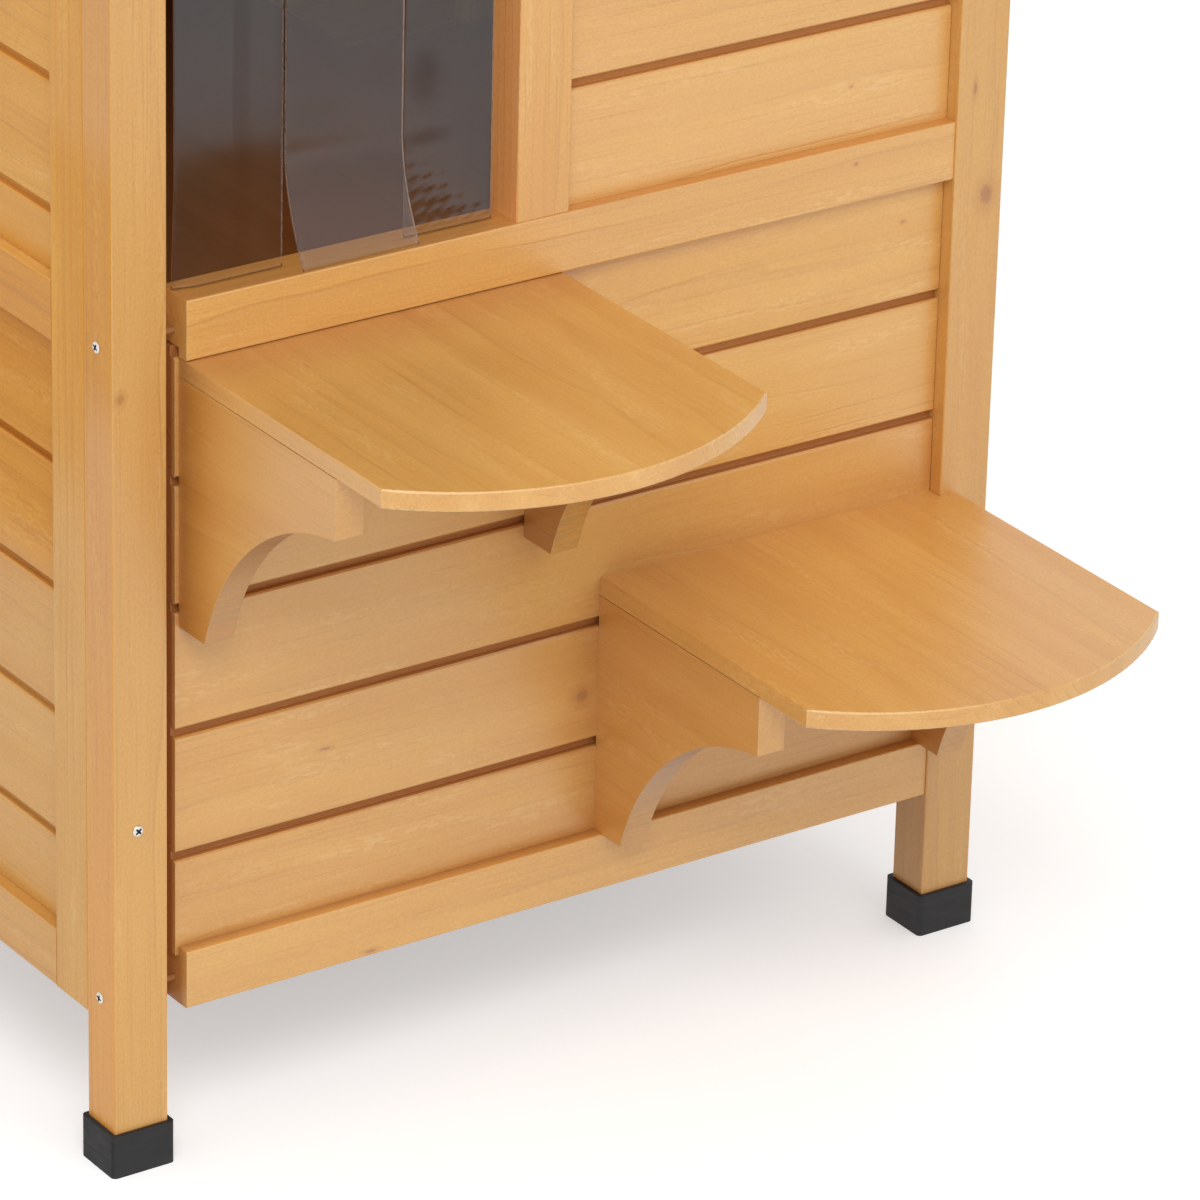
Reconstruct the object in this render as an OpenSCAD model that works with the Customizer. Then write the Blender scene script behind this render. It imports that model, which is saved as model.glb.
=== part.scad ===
// Two-storey outdoor cat house: a timber frame on four legs with rubber foot caps, grooved boards
// in every wall, a strip curtain in the upper doorway, two bracketed steps and a hinged felt roof.
// X runs along the front, left to right. Y runs from front to back. Z is up, with the ground at 0.
// The origin is on the ground, under the middle of the whole object's outline.

/* [Cabin] */
// Width over the legs
cabin_w = 656; // [600:1:760]
// Depth over the legs
cabin_d = 600; // [520:1:700]
// Height of the bottom rails above the ground
underside_h = 102; // [80:1:140]
// Height between the bottom rails and the middle rails
lower_room_h = 395; // [340:1:440]
// Height between the middle rails and the front top rail
upper_room_h = 395; // [340:1:440]
// Slope of the roof, down to the rear, in degrees
roof_pitch = 5; // [3:0.5:8]

/* [Frame] */
// Width of a leg, seen from the front
leg_w = 38; // [34:0.5:44]
// Depth of a leg, front to back
leg_d = 32.5; // [30:0.5:40]
// Height of every rail
rail_h = 39; // [34:0.5:46]
// Thickness of every rail and stile
rail_t = 31; // [28:0.5:34]
// Width of a side panel's stile
stile_w = 38; // [34:0.5:46]
// Distance of the front and rear rails behind the legs' faces
rail_setback = 1.75; // [0.5:0.25:4]
// Open gap between the left leg and the front panel
panel_gap = 14.7; // [10:0.1:18]
// Radius of the rounded long edges of the timber
edge_r = 1.2; // [0.5:0.1:2]

/* [Boards] */
// Thickness of a wall board
board_t = 14; // [12:0.5:16]
// Distance from one board to the next
board_pitch = 83.8; // [70:0.1:100]
// Height of the visible groove between two boards
groove_h = 5.8; // [4:0.1:8]
// Depth of the visible groove
groove_d = 5; // [3:0.1:6]
// Thickness of a board's tongue
tongue_t = 4; // [3:0.1:5]
// Depth that a tongue runs into the next board
tongue_depth = 5; // [3:0.1:7]
// Bevel along a board's visible edges
board_bevel = 1.2; // [0.5:0.1:2]
// Distance of the boards behind the rails' faces
board_recess = 9.25; // [7:0.25:11]
// Depth that the boards reach into the frame's slots
board_seat = 5.5; // [4:0.1:8]
// Height of the first groove above the bottom rail, front and rear
front_lower_groove = 59.3; // [40:0.1:80]
// Height of the first groove above the middle rail, front and rear
front_upper_groove = 75.5; // [30:0.1:80]
// Height of the first groove above the bottom rail, sides
side_lower_groove = 55; // [40:0.1:80]
// Height of the first groove above the middle rail, sides
side_upper_groove = 35; // [30:0.1:80]

/* [Doorway] */
// Width of the doorway between the left leg and the curtain post
door_w = 249.5; // [235:0.5:270]
// Width of the curtain post
post_w = 38.3; // [34:0.1:44]
// Distance of the curtain post behind the legs' faces
post_setback = 3; // [1:0.25:5]
// Diameter of the rod that the strips hang on
rod_d = 6; // [5:0.5:8]
// Distance of the rod behind the legs' faces
rod_y = 17; // [14:0.5:19]
// Distance from the front top rail down to the rod
rod_drop = 14; // [10:1:30]
// Depth of the rod's two sockets
rod_socket = 10; // [6:1:16]

/* [Curtain strips] */
// Thickness of a strip
strip_t = 2; // [1.5:0.1:3]
// Width of the left strip
left_strip_w = 75; // [60:0.5:80]
// Width of the middle strip
middle_strip_w = 82.5; // [70:0.5:88]
// Width of the right strip
right_strip_w = 62.5; // [50:0.5:68]
// Distance from the left leg to the first strip
strip_inset = 15.2; // [12:0.1:20]
// Gap between two strips
strip_gap = 2; // [1:0.25:4]
// Clearance between a strip's foot and the sill
strip_sill_gap = 1; // [0.5:0.25:4]
// Height above the sill where the middle strip starts to bend outwards
bend_h = 80; // [60:1:120]
// Radius of the middle strip's bend
bend_r = 70; // [40:1:120]
// Angle of the middle strip's bend, in degrees
bend_angle = 21.5; // [10:0.5:30]
// Height of the bent foot above the sill
bend_foot_h = 5; // [3:0.5:12]

/* [Steps] */
// Width of a step board
step_w = 270; // [230:1:285]
// Length of a step board's straight side
step_side_d = 223; // [200:1:240]
// How far the round front stands out past the sides
step_crown = 54; // [40:1:70]
// Thickness of a step board
step_t = 12.5; // [10:0.5:18]
// Distance of the upper step below the middle rail
step_drop = 0.5; // [0.3:0.1:4]
// Distance from the lower step's right edge to the cabin's right side
lower_step_inset = 25; // [23:0.5:30]
// Thickness of a bracket
bracket_t = 20; // [18:0.5:26]
// Height of a bracket
bracket_h = 164; // [140:1:168]
// Depth of a bracket, wall to nose
bracket_d = 174; // [150:1:190]
// Height of a bracket's nose
nose_h = 39.8; // [30:0.2:50]
// Depth of a bracket's foot
foot_d = 29.9; // [24:0.1:40]
// Radius of a bracket's hollow curve
bracket_curve_r = 172; // [130:1:220]

/* [Floors] */
// Thickness of a floor panel
floor_t = 12; // [9:0.5:15]
// Height of the cleats under a floor
cleat_h = 18; // [15:0.5:22]
// Width of the cleats under a floor
cleat_w = 18; // [12:0.5:24]
// Width of the hatch in the upper floor
hatch_w = 210; // [160:1:240]
// Depth of the hatch in the upper floor
hatch_d = 200; // [160:1:240]
// Distance from the hatch to the floor's edges
hatch_inset = 40; // [30:1:60]

/* [Roof] */
// Overhang of the roof at the front
front_overhang = 60; // [40:1:90]
// Overhang of the roof at each side
side_overhang = 40; // [30:1:60]
// Overhang of the roof at the rear
rear_overhang = 40; // [30:1:50]
// Thickness of the roof deck
deck_t = 12; // [9:0.5:18]
// Thickness of the roofing felt
felt_t = 2.5; // [2:0.1:4]
// Height of the felt's turned-down lip
felt_lip = 20; // [16:0.5:26]
// Height of the fascia boards
fascia_h = 28; // [20:1:40]
// Thickness of the fascia boards
fascia_t = 12; // [9:0.5:16]
// Width of a batten under the roof deck
batten_w = 30; // [20:1:40]
// Height of a batten under the roof deck
batten_h = 20; // [12:1:30]

/* [Roof hinges] */
// Distance from each side of the cabin to the middle of a hinge
hinge_inset = 130; // [90:1:180]
// Length of a hinge
hinge_l = 60; // [48:1:80]
// Width of a hinge leaf
leaf_w = 25; // [20:0.5:27]
// Thickness of a hinge leaf
leaf_t = 1.8; // [1.2:0.1:2.4]
// Outer radius of a hinge knuckle
knuckle_r = 4.5; // [4:0.1:6]
// Diameter of a hinge pin
hinge_pin_d = 4; // [3:0.1:5]
// Shank diameter of a hinge screw
hinge_screw_d = 3; // [2:0.1:3.5]
// Head diameter of a hinge screw
hinge_head_d = 6; // [5:0.1:7]
// Length of a hinge screw under its head
hinge_screw_l = 10; // [8:0.5:11]

/* [Foot caps] */
// Height of a rubber foot cap
cap_h = 29; // [22:1:36]
// Wall of a rubber foot cap
cap_wall = 3.3; // [2.5:0.1:4.5]
// Thickness under the leg
cap_floor = 5; // [3:0.5:8]

/* [Screws] */
// Shank diameter of a frame screw
screw_d = 4; // [3:0.1:5]
// Head diameter of a frame screw
screw_head_d = 7.4; // [6.6:0.1:9]
// Height of a frame screw's head
screw_head_h = 1.2; // [0.8:0.1:2]
// Length of a rail screw under its head
rail_screw_l = 66; // [60:1:75]
// Length of a stile screw under its head
stile_screw_l = 58; // [50:1:62]
// Shank diameter of a bracket screw
bracket_screw_d = 3; // [2.5:0.1:3.5]
// Head diameter of a bracket screw
bracket_head_d = 6; // [5:0.1:6.4]
// Length of a bracket screw under its head
bracket_screw_l = 36; // [28:1:45]
// Height of the middle of the low front screw above the ground
low_screw_z = 235; // [200:1:300]
// Distance of the rail screws below the rails' top faces
rail_screw_drop = 23.5; // [16:0.5:28]
// Distance of a cross screw from the front face or side face of its leg
screw_line = 17; // [14:0.5:18]

/* [Clearances] */
// Clearance round a tongue and round a board in its slot
board_fit = 0.15; // [0.1:0.05:0.4]
// Gap between the back edges of two boards
board_joint = 0.3; // [0.2:0.1:1]
// Clearance at the ends of the boards
end_fit = 0.2; // [0.1:0.1:0.6]
// Clearance round the floor panels
floor_fit = 0.4; // [0.2:0.1:0.8]
// Gap between the wall tops and the closed roof
lid_gap = 0.3; // [0.2:0.1:0.8]
// Radial clearance of a screw in its hole
screw_fit = 0.05; // [0.02:0.01:0.1]
// Radial clearance of a pin or rod in what turns on it
pin_fit = 0.08; // [0.03:0.01:0.1]
// Clearance of a notch round a leg
notch_fit = 0.3; // [0.2:0.1:0.6]
// Gap between the hinge knuckles, and between them and the roof
knuckle_gap = 0.3; // [0.2:0.1:0.5]

/* [Hidden] */
$fn = 48;
big = 2000;
bottom_rail_z = underside_h;
lower_room_z = bottom_rail_z + rail_h;
mid_rail_z = lower_room_z + lower_room_h;
sill_z = mid_rail_z + rail_h;
top_rail_z = sill_z + upper_room_h;
wall_top_z = top_rail_z + rail_h;
rail_y = rail_setback;
board_y = rail_setback + board_recess;
board_back_y = board_y + board_t;
inner_y = rail_setback + rail_t;
panel_x = leg_w + panel_gap;
right_leg_x = cabin_w - leg_w;
rear_leg_y = cabin_d - leg_d;
board_x = panel_x - 2.7;
post_x = leg_w + door_w;
post_end_x = post_x + post_w;
side_front_y = leg_d + stile_w;
side_rear_y = rear_leg_y - stile_w;
slot_w = board_t + 2 * board_fit;
slot_depth = board_seat + 0.5;
deck_x0 = -side_overhang;
deck_x1 = cabin_w + side_overhang;
deck_y0 = -front_overhang;
deck_y1 = cabin_d + rear_overhang;
step_front_y = board_y - step_side_d - step_crown;
mid_y = (step_front_y + deck_y1 + felt_t) / 2;
upper_step_z = mid_rail_z - step_drop - step_t;
lower_step_z = lower_room_z + bracket_h;
upper_step_x = panel_x;
lower_step_x = cabin_w - lower_step_inset - step_w;
rod_z = top_rail_z - rod_drop;
rod_x0 = leg_w - rod_socket;
rod_x1 = post_x + rod_socket;
sleeve_r = rod_d / 2 + pin_fit + 1.6;
strip_foot_z = sill_z + strip_sill_gap;
left_strip_x = leg_w + strip_inset;
middle_strip_x = left_strip_x + left_strip_w + strip_gap;
right_strip_x = middle_strip_x + middle_strip_w + strip_gap;
step_round_r = (pow(step_w / 2, 2) + pow(step_crown, 2)) / (2 * step_crown);
hinge_axis_y = cabin_d - rail_setback + knuckle_r;
hinge_xs = [hinge_inset, cabin_w - hinge_inset];
hinge_lift = knuckle_r + knuckle_gap;
hinge_z = deck_z(hinge_axis_y) - hinge_lift / cos(roof_pitch);
knuckle_l = hinge_l / 3;
bracket_screw_rows = [bracket_h * 0.15, bracket_h * 0.8];
rail_screw_zs = [lower_room_z - rail_screw_drop, sill_z - rail_screw_drop];
rear_fall = cabin_d * tan(roof_pitch);
high_screw_z = top_rail_z - 2 * rail_h - rear_fall;
stile_screw_zs = [low_screw_z, high_screw_z];

// Height of the wall tops, a plane that falls to the rear
function wall_z(y) = wall_top_z - y * tan(roof_pitch);

// Height of the roof deck's underside when the roof is closed
function deck_z(y) = wall_z(y) + lid_gap;

// Centre of a circle of radius r through a and b, on the right-hand side of the way from a to b
function arc_centre(a, b, r) =
    let (m = (a + b) / 2, d = b - a, h = sqrt(r * r - d * d / 4))
    m + h * [d[1], -d[0]] / norm(d);

// Moves the cabin's own coordinates, which start at the left leg's front corner, to the origin
module place() {
    translate([-cabin_w / 2, -mid_y, 0]) children();
}

// Rectangle from its own corner with round corners
module rounded(w, h, r) {
    translate([r, 0]) square([w - 2 * r, h]);
    translate([0, r]) square([w, h - 2 * r]);
    for (x = [r, w - r], y = [r, h - r]) translate([x, y]) circle(r);
}

// Timber with round long edges, along one axis, between two corners
module timber_x(p, q) {
    translate(p) rotate([90, 0, 90]) linear_extrude(q[0] - p[0]) rounded(q[1] - p[1], q[2] - p[2], edge_r);
}

module timber_y(p, q) {
    translate([p[0], q[1], p[2]]) rotate([90, 0, 0]) linear_extrude(q[1] - p[1])
        rounded(q[0] - p[0], q[2] - p[2], edge_r);
}

module timber_z(p, q) {
    translate(p) linear_extrude(q[2] - p[2]) rounded(q[0] - p[0], q[1] - p[1], edge_r);
}

// Plain block between two corners
module block(p, q) {
    translate(p) cube(q - p);
}

// Extrudes a side outline, drawn as (y, z), from x0 to x1
module side_outline(x0, x1) {
    translate([x0, 0, 0]) rotate([90, 0, 90]) linear_extrude(x1 - x0) children();
}

// All the space above the wall tops
module above_walls() {
    side_outline(-big / 2, big) polygon([
        [-big, wall_z(-big)], [big, wall_z(big)], [big, big * 2], [-big, big * 2]
    ]);
}

// Sloping bar between y0 and y1 that lies against the underside of a sloping line
module sloping_outline(y0, y1, top, height) {
    polygon([
        [y0, wall_z(y0) + top - height], [y1, wall_z(y1) + top - height],
        [y1, wall_z(y1) + top], [y0, wall_z(y0) + top]
    ]);
}

// Mirrors a piece of the left side to the right side
module to_right() {
    translate([cabin_w, 0, 0]) mirror([1, 0, 0]) children();
}

// Mirrors a piece of the front to the rear
module to_rear() {
    translate([0, cabin_d, 0]) mirror([0, 1, 0]) children();
}

// Round hole along X or Y from a start point
module hole_x(p, d, l) {
    translate([p[0] - 0.5, p[1], p[2]]) rotate([0, 90, 0]) cylinder(d = d, h = l + 0.5);
}

module hole_y(p, d, l) {
    translate([p[0], p[1] - 0.5, p[2]]) rotate([-90, 0, 0]) cylinder(d = d, h = l + 0.5);
}

// Outline of one board, drawn as (depth, height) with its front face at depth 0
module board_outline() {
    face_h = board_pitch - groove_h;
    tongue_top = board_pitch + tongue_depth;
    t0 = groove_d;
    t1 = groove_d + tongue_t;
    polygon([
        [0, board_bevel], [0, face_h - board_bevel], [board_bevel, face_h], [t0, face_h],
        [t0, tongue_top - board_joint], [t1, tongue_top - board_joint],
        [t1, board_pitch - board_joint], [board_t, board_pitch - board_joint], [board_t, 0],
        [t1 + board_fit, 0], [t1 + board_fit, tongue_depth + board_joint],
        [t0 - board_fit, tongue_depth + board_joint], [t0 - board_fit, 0], [board_bevel, 0]
    ]);
}

// Stack of boards along X from x0 to x1, between the heights z0 and z1, with its front at y.
// The first groove's lower edge lies at first_groove above the rail that carries the stack.
module board_stack(x0, x1, y, z0, z1, first_groove) {
    start = z0 + board_seat + first_groove + groove_h - board_pitch;
    first = start > z0 + board_seat ? -1 : 0;
    last = ceil((z1 - board_seat - start) / board_pitch) - 1;
    for (k = [first : last])
        intersection() {
            translate([0, y, start + k * board_pitch]) side_outline(x0, x1) board_outline();
            block([x0 - 1, y - 1, z0], [x1 + 1, y + board_t + 1, z1]);
        }
}

// Slot for the boards along X in a rail's top or bottom face
module slot_x(x0, x1, z) {
    block([x0, board_y - board_fit, z - slot_depth], [x1, board_y - board_fit + slot_w, z + slot_depth]);
}

// Leg at the front left, with its socket for the curtain rod and its two rows of screw holes
module front_left_leg() {
    difference() {
        timber_z([0, 0, cap_floor], [leg_w, leg_d, wall_z(0) + 1]);
        above_walls();
        leg_holes(front_screw_zs());
        hole_x([rod_x0, rod_y, rod_z], rod_d + 2 * screw_fit, leg_w);
    }
}

// Screw heights through the side face of a front leg and of a rear leg
function front_screw_zs() = concat(rail_screw_zs, [wall_z(inner_y) - rail_h / 2]);
function rear_screw_zs() = concat(rail_screw_zs, [wall_z(cabin_d - rail_setback) - rail_h / 2]);

// Screw holes through a front left leg: along X into the rails and along Y into the stile
module leg_holes(zs) {
    for (z = zs) hole_x([-1, screw_line, z], screw_d + 2 * screw_fit, leg_w + 2);
    for (z = stile_screw_zs) hole_y([screw_line, -1, z], screw_d + 2 * screw_fit, leg_d + 2);
}

module plain_front_leg() {
    difference() {
        timber_z([0, 0, cap_floor], [leg_w, leg_d, wall_z(0) + 1]);
        above_walls();
        leg_holes(front_screw_zs());
    }
}

module plain_rear_leg() {
    difference() {
        to_rear() difference() {
            timber_z([0, 0, cap_floor], [leg_w, leg_d, wall_top_z]);
            leg_holes(rear_screw_zs());
        }
        above_walls();
    }
}

module leg_front_left() { color("burlywood") place() front_left_leg(); }
module leg_front_right() { color("burlywood") place() to_right() plain_front_leg(); }
module leg_rear_left() { color("burlywood") place() plain_rear_leg(); }
module leg_rear_right() { color("burlywood") place() to_right() plain_rear_leg(); }

// Rubber cap round the foot of a leg
module foot_cap() {
    color("dimgray") difference() {
        translate([-cap_wall, -cap_wall, 0])
            linear_extrude(cap_h) rounded(leg_w + 2 * cap_wall, leg_d + 2 * cap_wall, cap_wall);
        translate([0, 0, cap_floor]) linear_extrude(cap_h) rounded(leg_w, leg_d, edge_r);
    }
}

module foot_cap_front_left() { place() foot_cap(); }
module foot_cap_front_right() { place() to_right() foot_cap(); }
module foot_cap_rear_left() { place() to_rear() foot_cap(); }
module foot_cap_rear_right() { place() to_rear() to_right() foot_cap(); }

// Front frame: the rails lie between the gap at the left leg and the right leg
module front_bottom_rail() {
    color("burlywood") place() difference() {
        timber_x([panel_x, rail_y, bottom_rail_z], [right_leg_x, inner_y, lower_room_z]);
        slot_x(panel_x - 1, right_leg_x + 1, lower_room_z);
        rail_end_holes(rail_screw_zs[0]);
    }
}

module front_mid_rail() {
    color("burlywood") place() difference() {
        timber_x([panel_x, rail_y, mid_rail_z], [right_leg_x, inner_y, sill_z]);
        slot_x(panel_x - 1, right_leg_x + 1, mid_rail_z);
        slot_x(post_end_x, right_leg_x + 1, sill_z);
        rail_end_holes(rail_screw_zs[1]);
    }
}

module front_top_rail() {
    color("burlywood") place() difference() {
        timber_x([panel_x, rail_y, top_rail_z], [right_leg_x, inner_y, wall_z(rail_y) + 2]);
        above_walls();
        slot_x(post_end_x, right_leg_x + 1, top_rail_z);
        rail_end_holes(front_screw_zs()[2]);
    }
}

// Pilot holes for the frame screws in both ends of a front rail
module rail_end_holes(z) {
    for (side = [0, 1]) translate([side * cabin_w, 0, 0]) mirror([side, 0, 0])
        hole_x([0, screw_line, z], screw_d + 2 * screw_fit, rail_screw_l);
}

module curtain_post() {
    color("burlywood") place() difference() {
        timber_z([post_x, post_setback, sill_z], [post_end_x, post_setback + rail_t, top_rail_z]);
        hole_x([post_x - 1, rod_y, rod_z], rod_d + 2 * screw_fit, rod_socket + 1);
    }
}

module gap_filler() {
    color("tan") place() difference() {
        block([leg_w, board_back_y, bottom_rail_z], [panel_x, inner_y, wall_z(0)]);
        above_walls();
    }
}

// Holes for the bracket screws through the front boards and into the brackets
module bracket_screw_holes() {
    for (p = bracket_screw_places()) hole_y(p, bracket_screw_d + 2 * screw_fit, bracket_screw_l + 1);
}

// Screw places behind the brackets: the heads lie on the boards' inner faces
function bracket_screw_places() = [
    for (b = [
            [upper_step_x + bracket_t / 2, upper_step_z], [upper_step_x + step_w - bracket_t / 2, upper_step_z],
            [lower_step_x + bracket_t / 2, lower_step_z],
            [right_leg_x - bracket_head_d / 2 - notch_fit, lower_step_z]
        ], dz = bracket_screw_rows)
        [b[0], board_back_y - bracket_screw_l, b[1] - bracket_h + dz]
];

module front_lower_boards() {
    color("peru") place() difference() {
        board_stack(board_x, right_leg_x - end_fit, board_y,
            lower_room_z - board_seat, mid_rail_z + board_seat, front_lower_groove);
        bracket_screw_holes();
    }
}

module front_upper_boards() {
    color("peru") place() board_stack(post_end_x + end_fit, right_leg_x - end_fit, board_y,
        sill_z - board_seat, top_rail_z + board_seat, front_upper_groove);
}

// Left side panel, which the right side panel mirrors
module side_stile(y0) {
    difference() {
        timber_z([0, y0, bottom_rail_z], [rail_t, y0 + stile_w, wall_z(y0) + 1]);
        above_walls();
    }
}

module side_slot(y0, y1) {
    block([board_recess - board_fit, y0, lower_room_z - slot_depth],
        [board_recess - board_fit + slot_w, y1, big]);
}

module front_stile() {
    difference() {
        side_stile(leg_d);
        side_slot(side_front_y - slot_depth, side_front_y + 1);
        for (z = stile_screw_zs) hole_y([screw_line, 0, z], screw_d + 2 * screw_fit, stile_screw_l);
    }
}

module rear_stile() {
    difference() {
        side_stile(side_rear_y);
        side_slot(side_rear_y - 1, side_rear_y + slot_depth);
        to_rear() for (z = stile_screw_zs) hole_y([screw_line, 0, z], screw_d + 2 * screw_fit, stile_screw_l);
    }
}

module side_rail_slot(z) {
    block([board_recess - board_fit, side_front_y - 1, z - slot_depth],
        [board_recess - board_fit + slot_w, side_rear_y + 1, z + slot_depth]);
}

module side_bottom_rail() {
    difference() {
        timber_y([0, side_front_y, bottom_rail_z], [rail_t, side_rear_y, lower_room_z]);
        side_rail_slot(lower_room_z);
    }
}

module side_mid_rail() {
    difference() {
        timber_y([0, side_front_y, mid_rail_z], [rail_t, side_rear_y, sill_z]);
        side_rail_slot(mid_rail_z);
        side_rail_slot(sill_z);
    }
}

module side_top_rail() {
    difference() {
        side_outline(0, rail_t) sloping_outline(side_front_y, side_rear_y, 0, rail_h);
        side_outline(board_recess - board_fit, board_recess - board_fit + slot_w)
            sloping_outline(side_front_y - 1, side_rear_y + 1, slot_depth - rail_h, 2 * slot_depth);
    }
}

// Boards of a side panel run along Y
module side_boards(z0, z1, first_groove) {
    translate([0, side_front_y + side_rear_y, 0]) rotate([0, 0, -90])
        translate([0, 0, 0]) board_stack(side_front_y - board_seat, side_rear_y + board_seat,
            board_recess, z0, z1, first_groove);
}

module side_lower_boards() {
    side_boards(lower_room_z - board_seat, mid_rail_z + board_seat, side_lower_groove);
}

module side_upper_boards() {
    difference() {
        side_boards(sill_z - board_seat, wall_top_z, side_upper_groove);
        translate([0, 0, board_seat - rail_h]) above_walls();
    }
}

module left_front_stile() { color("burlywood") place() front_stile(); }
module left_rear_stile() { color("burlywood") place() rear_stile(); }
module left_bottom_rail() { color("burlywood") place() side_bottom_rail(); }
module left_mid_rail() { color("burlywood") place() side_mid_rail(); }
module left_top_rail() { color("burlywood") place() side_top_rail(); }
module left_lower_boards() { color("peru") place() side_lower_boards(); }
module left_upper_boards() { color("peru") place() side_upper_boards(); }
module right_front_stile() { color("burlywood") place() to_right() front_stile(); }
module right_rear_stile() { color("burlywood") place() to_right() rear_stile(); }
module right_bottom_rail() { color("burlywood") place() to_right() side_bottom_rail(); }
module right_mid_rail() { color("burlywood") place() to_right() side_mid_rail(); }
module right_top_rail() { color("burlywood") place() to_right() side_top_rail(); }
module right_lower_boards() { color("peru") place() to_right() side_lower_boards(); }
module right_upper_boards() { color("peru") place() to_right() side_upper_boards(); }

// Rear panel: rails and boards from leg to leg
module rear_rail(z0, z1) {
    to_rear() timber_x([leg_w, rail_y, z0], [right_leg_x, inner_y, z1]);
}

// Pilot holes for the frame screws in both ends of a rear rail
module rear_end_holes(z) {
    to_rear() rail_end_holes(z);
}

module rear_bottom_rail() {
    color("burlywood") place() difference() {
        rear_rail(bottom_rail_z, lower_room_z);
        to_rear() slot_x(leg_w - 1, right_leg_x + 1, lower_room_z);
        rear_end_holes(rail_screw_zs[0]);
    }
}

module rear_mid_rail() {
    color("burlywood") place() difference() {
        rear_rail(mid_rail_z, sill_z);
        to_rear() slot_x(leg_w - 1, right_leg_x + 1, mid_rail_z);
        to_rear() slot_x(leg_w - 1, right_leg_x + 1, sill_z);
        rear_end_holes(rail_screw_zs[1]);
    }
}

rear_top_rail_z = wall_z(cabin_d - rail_setback) - rail_h;

module rear_top_rail() {
    color("burlywood") place() difference() {
        rear_rail(rear_top_rail_z, rear_top_rail_z + rail_h + 8);
        above_walls();
        to_rear() slot_x(leg_w - 1, right_leg_x + 1, rear_top_rail_z);
        rear_end_holes(rear_screw_zs()[2]);
        for (p = wall_hinge_screws()) translate(p) rotate([90, 0, 0])
            translate([0, 0, -1]) cylinder(r = hinge_screw_d / 2 + screw_fit, h = hinge_screw_l + 1);
    }
}

module rear_lower_boards() {
    color("peru") place() to_rear() board_stack(leg_w + end_fit, right_leg_x - end_fit, board_y,
        lower_room_z - board_seat, mid_rail_z + board_seat, front_lower_groove);
}

module rear_upper_boards() {
    color("peru") place() to_rear() board_stack(leg_w + end_fit, right_leg_x - end_fit, board_y,
        sill_z - board_seat, rear_top_rail_z + board_seat, front_upper_groove);
}

// Floors on cleats inside the side rails
module floor_cleats() {
    color("tan") place() for (z = [bottom_rail_z, mid_rail_z]) {
        block([rail_t, inner_y + floor_fit, z], [rail_t + cleat_w, cabin_d - inner_y - floor_fit, z + cleat_h]);
        to_right()
            block([rail_t, inner_y + floor_fit, z], [rail_t + cleat_w, cabin_d - inner_y - floor_fit, z + cleat_h]);
    }
}

module floor_panel(z) {
    block([rail_t + floor_fit, inner_y + floor_fit, z],
        [cabin_w - rail_t - floor_fit, cabin_d - inner_y - floor_fit, z + floor_t]);
}

module lower_floor() { color("wheat") place() floor_panel(bottom_rail_z + cleat_h); }

module upper_floor() {
    x1 = cabin_w - rail_t - floor_fit - hatch_inset;
    y1 = cabin_d - inner_y - floor_fit - hatch_inset;
    color("wheat") place() difference() {
        floor_panel(mid_rail_z + cleat_h);
        block([x1 - hatch_w, y1 - hatch_d, mid_rail_z], [x1, y1, sill_z + floor_t]);
    }
}

// Step board from its back left corner: a strip with a round front
module step_board() {
    intersection() {
        translate([step_w / 2, -step_side_d - step_crown + step_round_r, 0]) rotate_extrude($fn = 180)
            intersection() {
                translate([-step_round_r, 0]) rounded(2 * step_round_r, step_t, edge_r);
                square([step_round_r, step_t]);
            }
        timber_y([0, -step_side_d - step_crown - 1, 0], [step_w, 0, step_t]);
    }
    timber_y([0, -step_side_d + step_crown, 0], [step_w, 0, step_t]);
}

module upper_step_board() {
    color("sandybrown") place() translate([upper_step_x, board_y, upper_step_z]) step_board();
}

module lower_step_board() {
    color("sandybrown") place() difference() {
        translate([lower_step_x, board_y, lower_step_z]) step_board();
        leg_notch();
    }
}

// Space round the right leg that the lower step and its right bracket are notched for
module leg_notch() {
    block([right_leg_x - notch_fit, 0, 0], [cabin_w + big, board_y + 1, sill_z]);
}

// Bracket from its upper back left corner, with its hollow front curve
module bracket() {
    low = [-foot_d, -bracket_h];
    nose = [-bracket_d, -nose_h];
    centre = arc_centre(nose, low, bracket_curve_r);
    side_outline(0, bracket_t) difference() {
        translate([-bracket_d, -bracket_h]) square([bracket_d, bracket_h]);
        translate(centre) circle(bracket_curve_r, $fn = 180);
    }
}

module step_bracket(x, z) {
    color("peru") place() difference() {
        translate([x, board_y, z]) bracket();
        leg_notch();
        bracket_screw_holes();
    }
}

module upper_step_left_bracket() { step_bracket(upper_step_x, upper_step_z); }
module upper_step_right_bracket() { step_bracket(upper_step_x + step_w - bracket_t, upper_step_z); }
module lower_step_left_bracket() { step_bracket(lower_step_x, lower_step_z); }
module lower_step_right_bracket() { step_bracket(lower_step_x + step_w - bracket_t, lower_step_z); }

// Cross-recessed screw with its head's underside at the origin and its shank along -Z
module screw(l, d, head_d, head_h) {
    difference() {
        union() {
            cylinder(d = head_d, h = head_h / 2);
            translate([0, 0, head_h / 2]) cylinder(d1 = head_d, d2 = head_d * 0.7, h = head_h / 2);
            translate([0, 0, -l + d]) cylinder(d = d, h = l - d + 0.1);
            translate([0, 0, -l]) cylinder(d1 = 0.4, d2 = d, h = d);
        }
        for (a = [0, 90]) rotate([0, 0, a])
            translate([-head_d * 0.3, -head_d * 0.07, head_h * 0.25]) cube([head_d * 0.6, head_d * 0.14, head_h]);
    }
}

module rail_screw() {
    screw(rail_screw_l, screw_d, screw_head_d, screw_head_h);
}

module stile_screw() {
    screw(stile_screw_l, screw_d, screw_head_d, screw_head_h);
}

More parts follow.
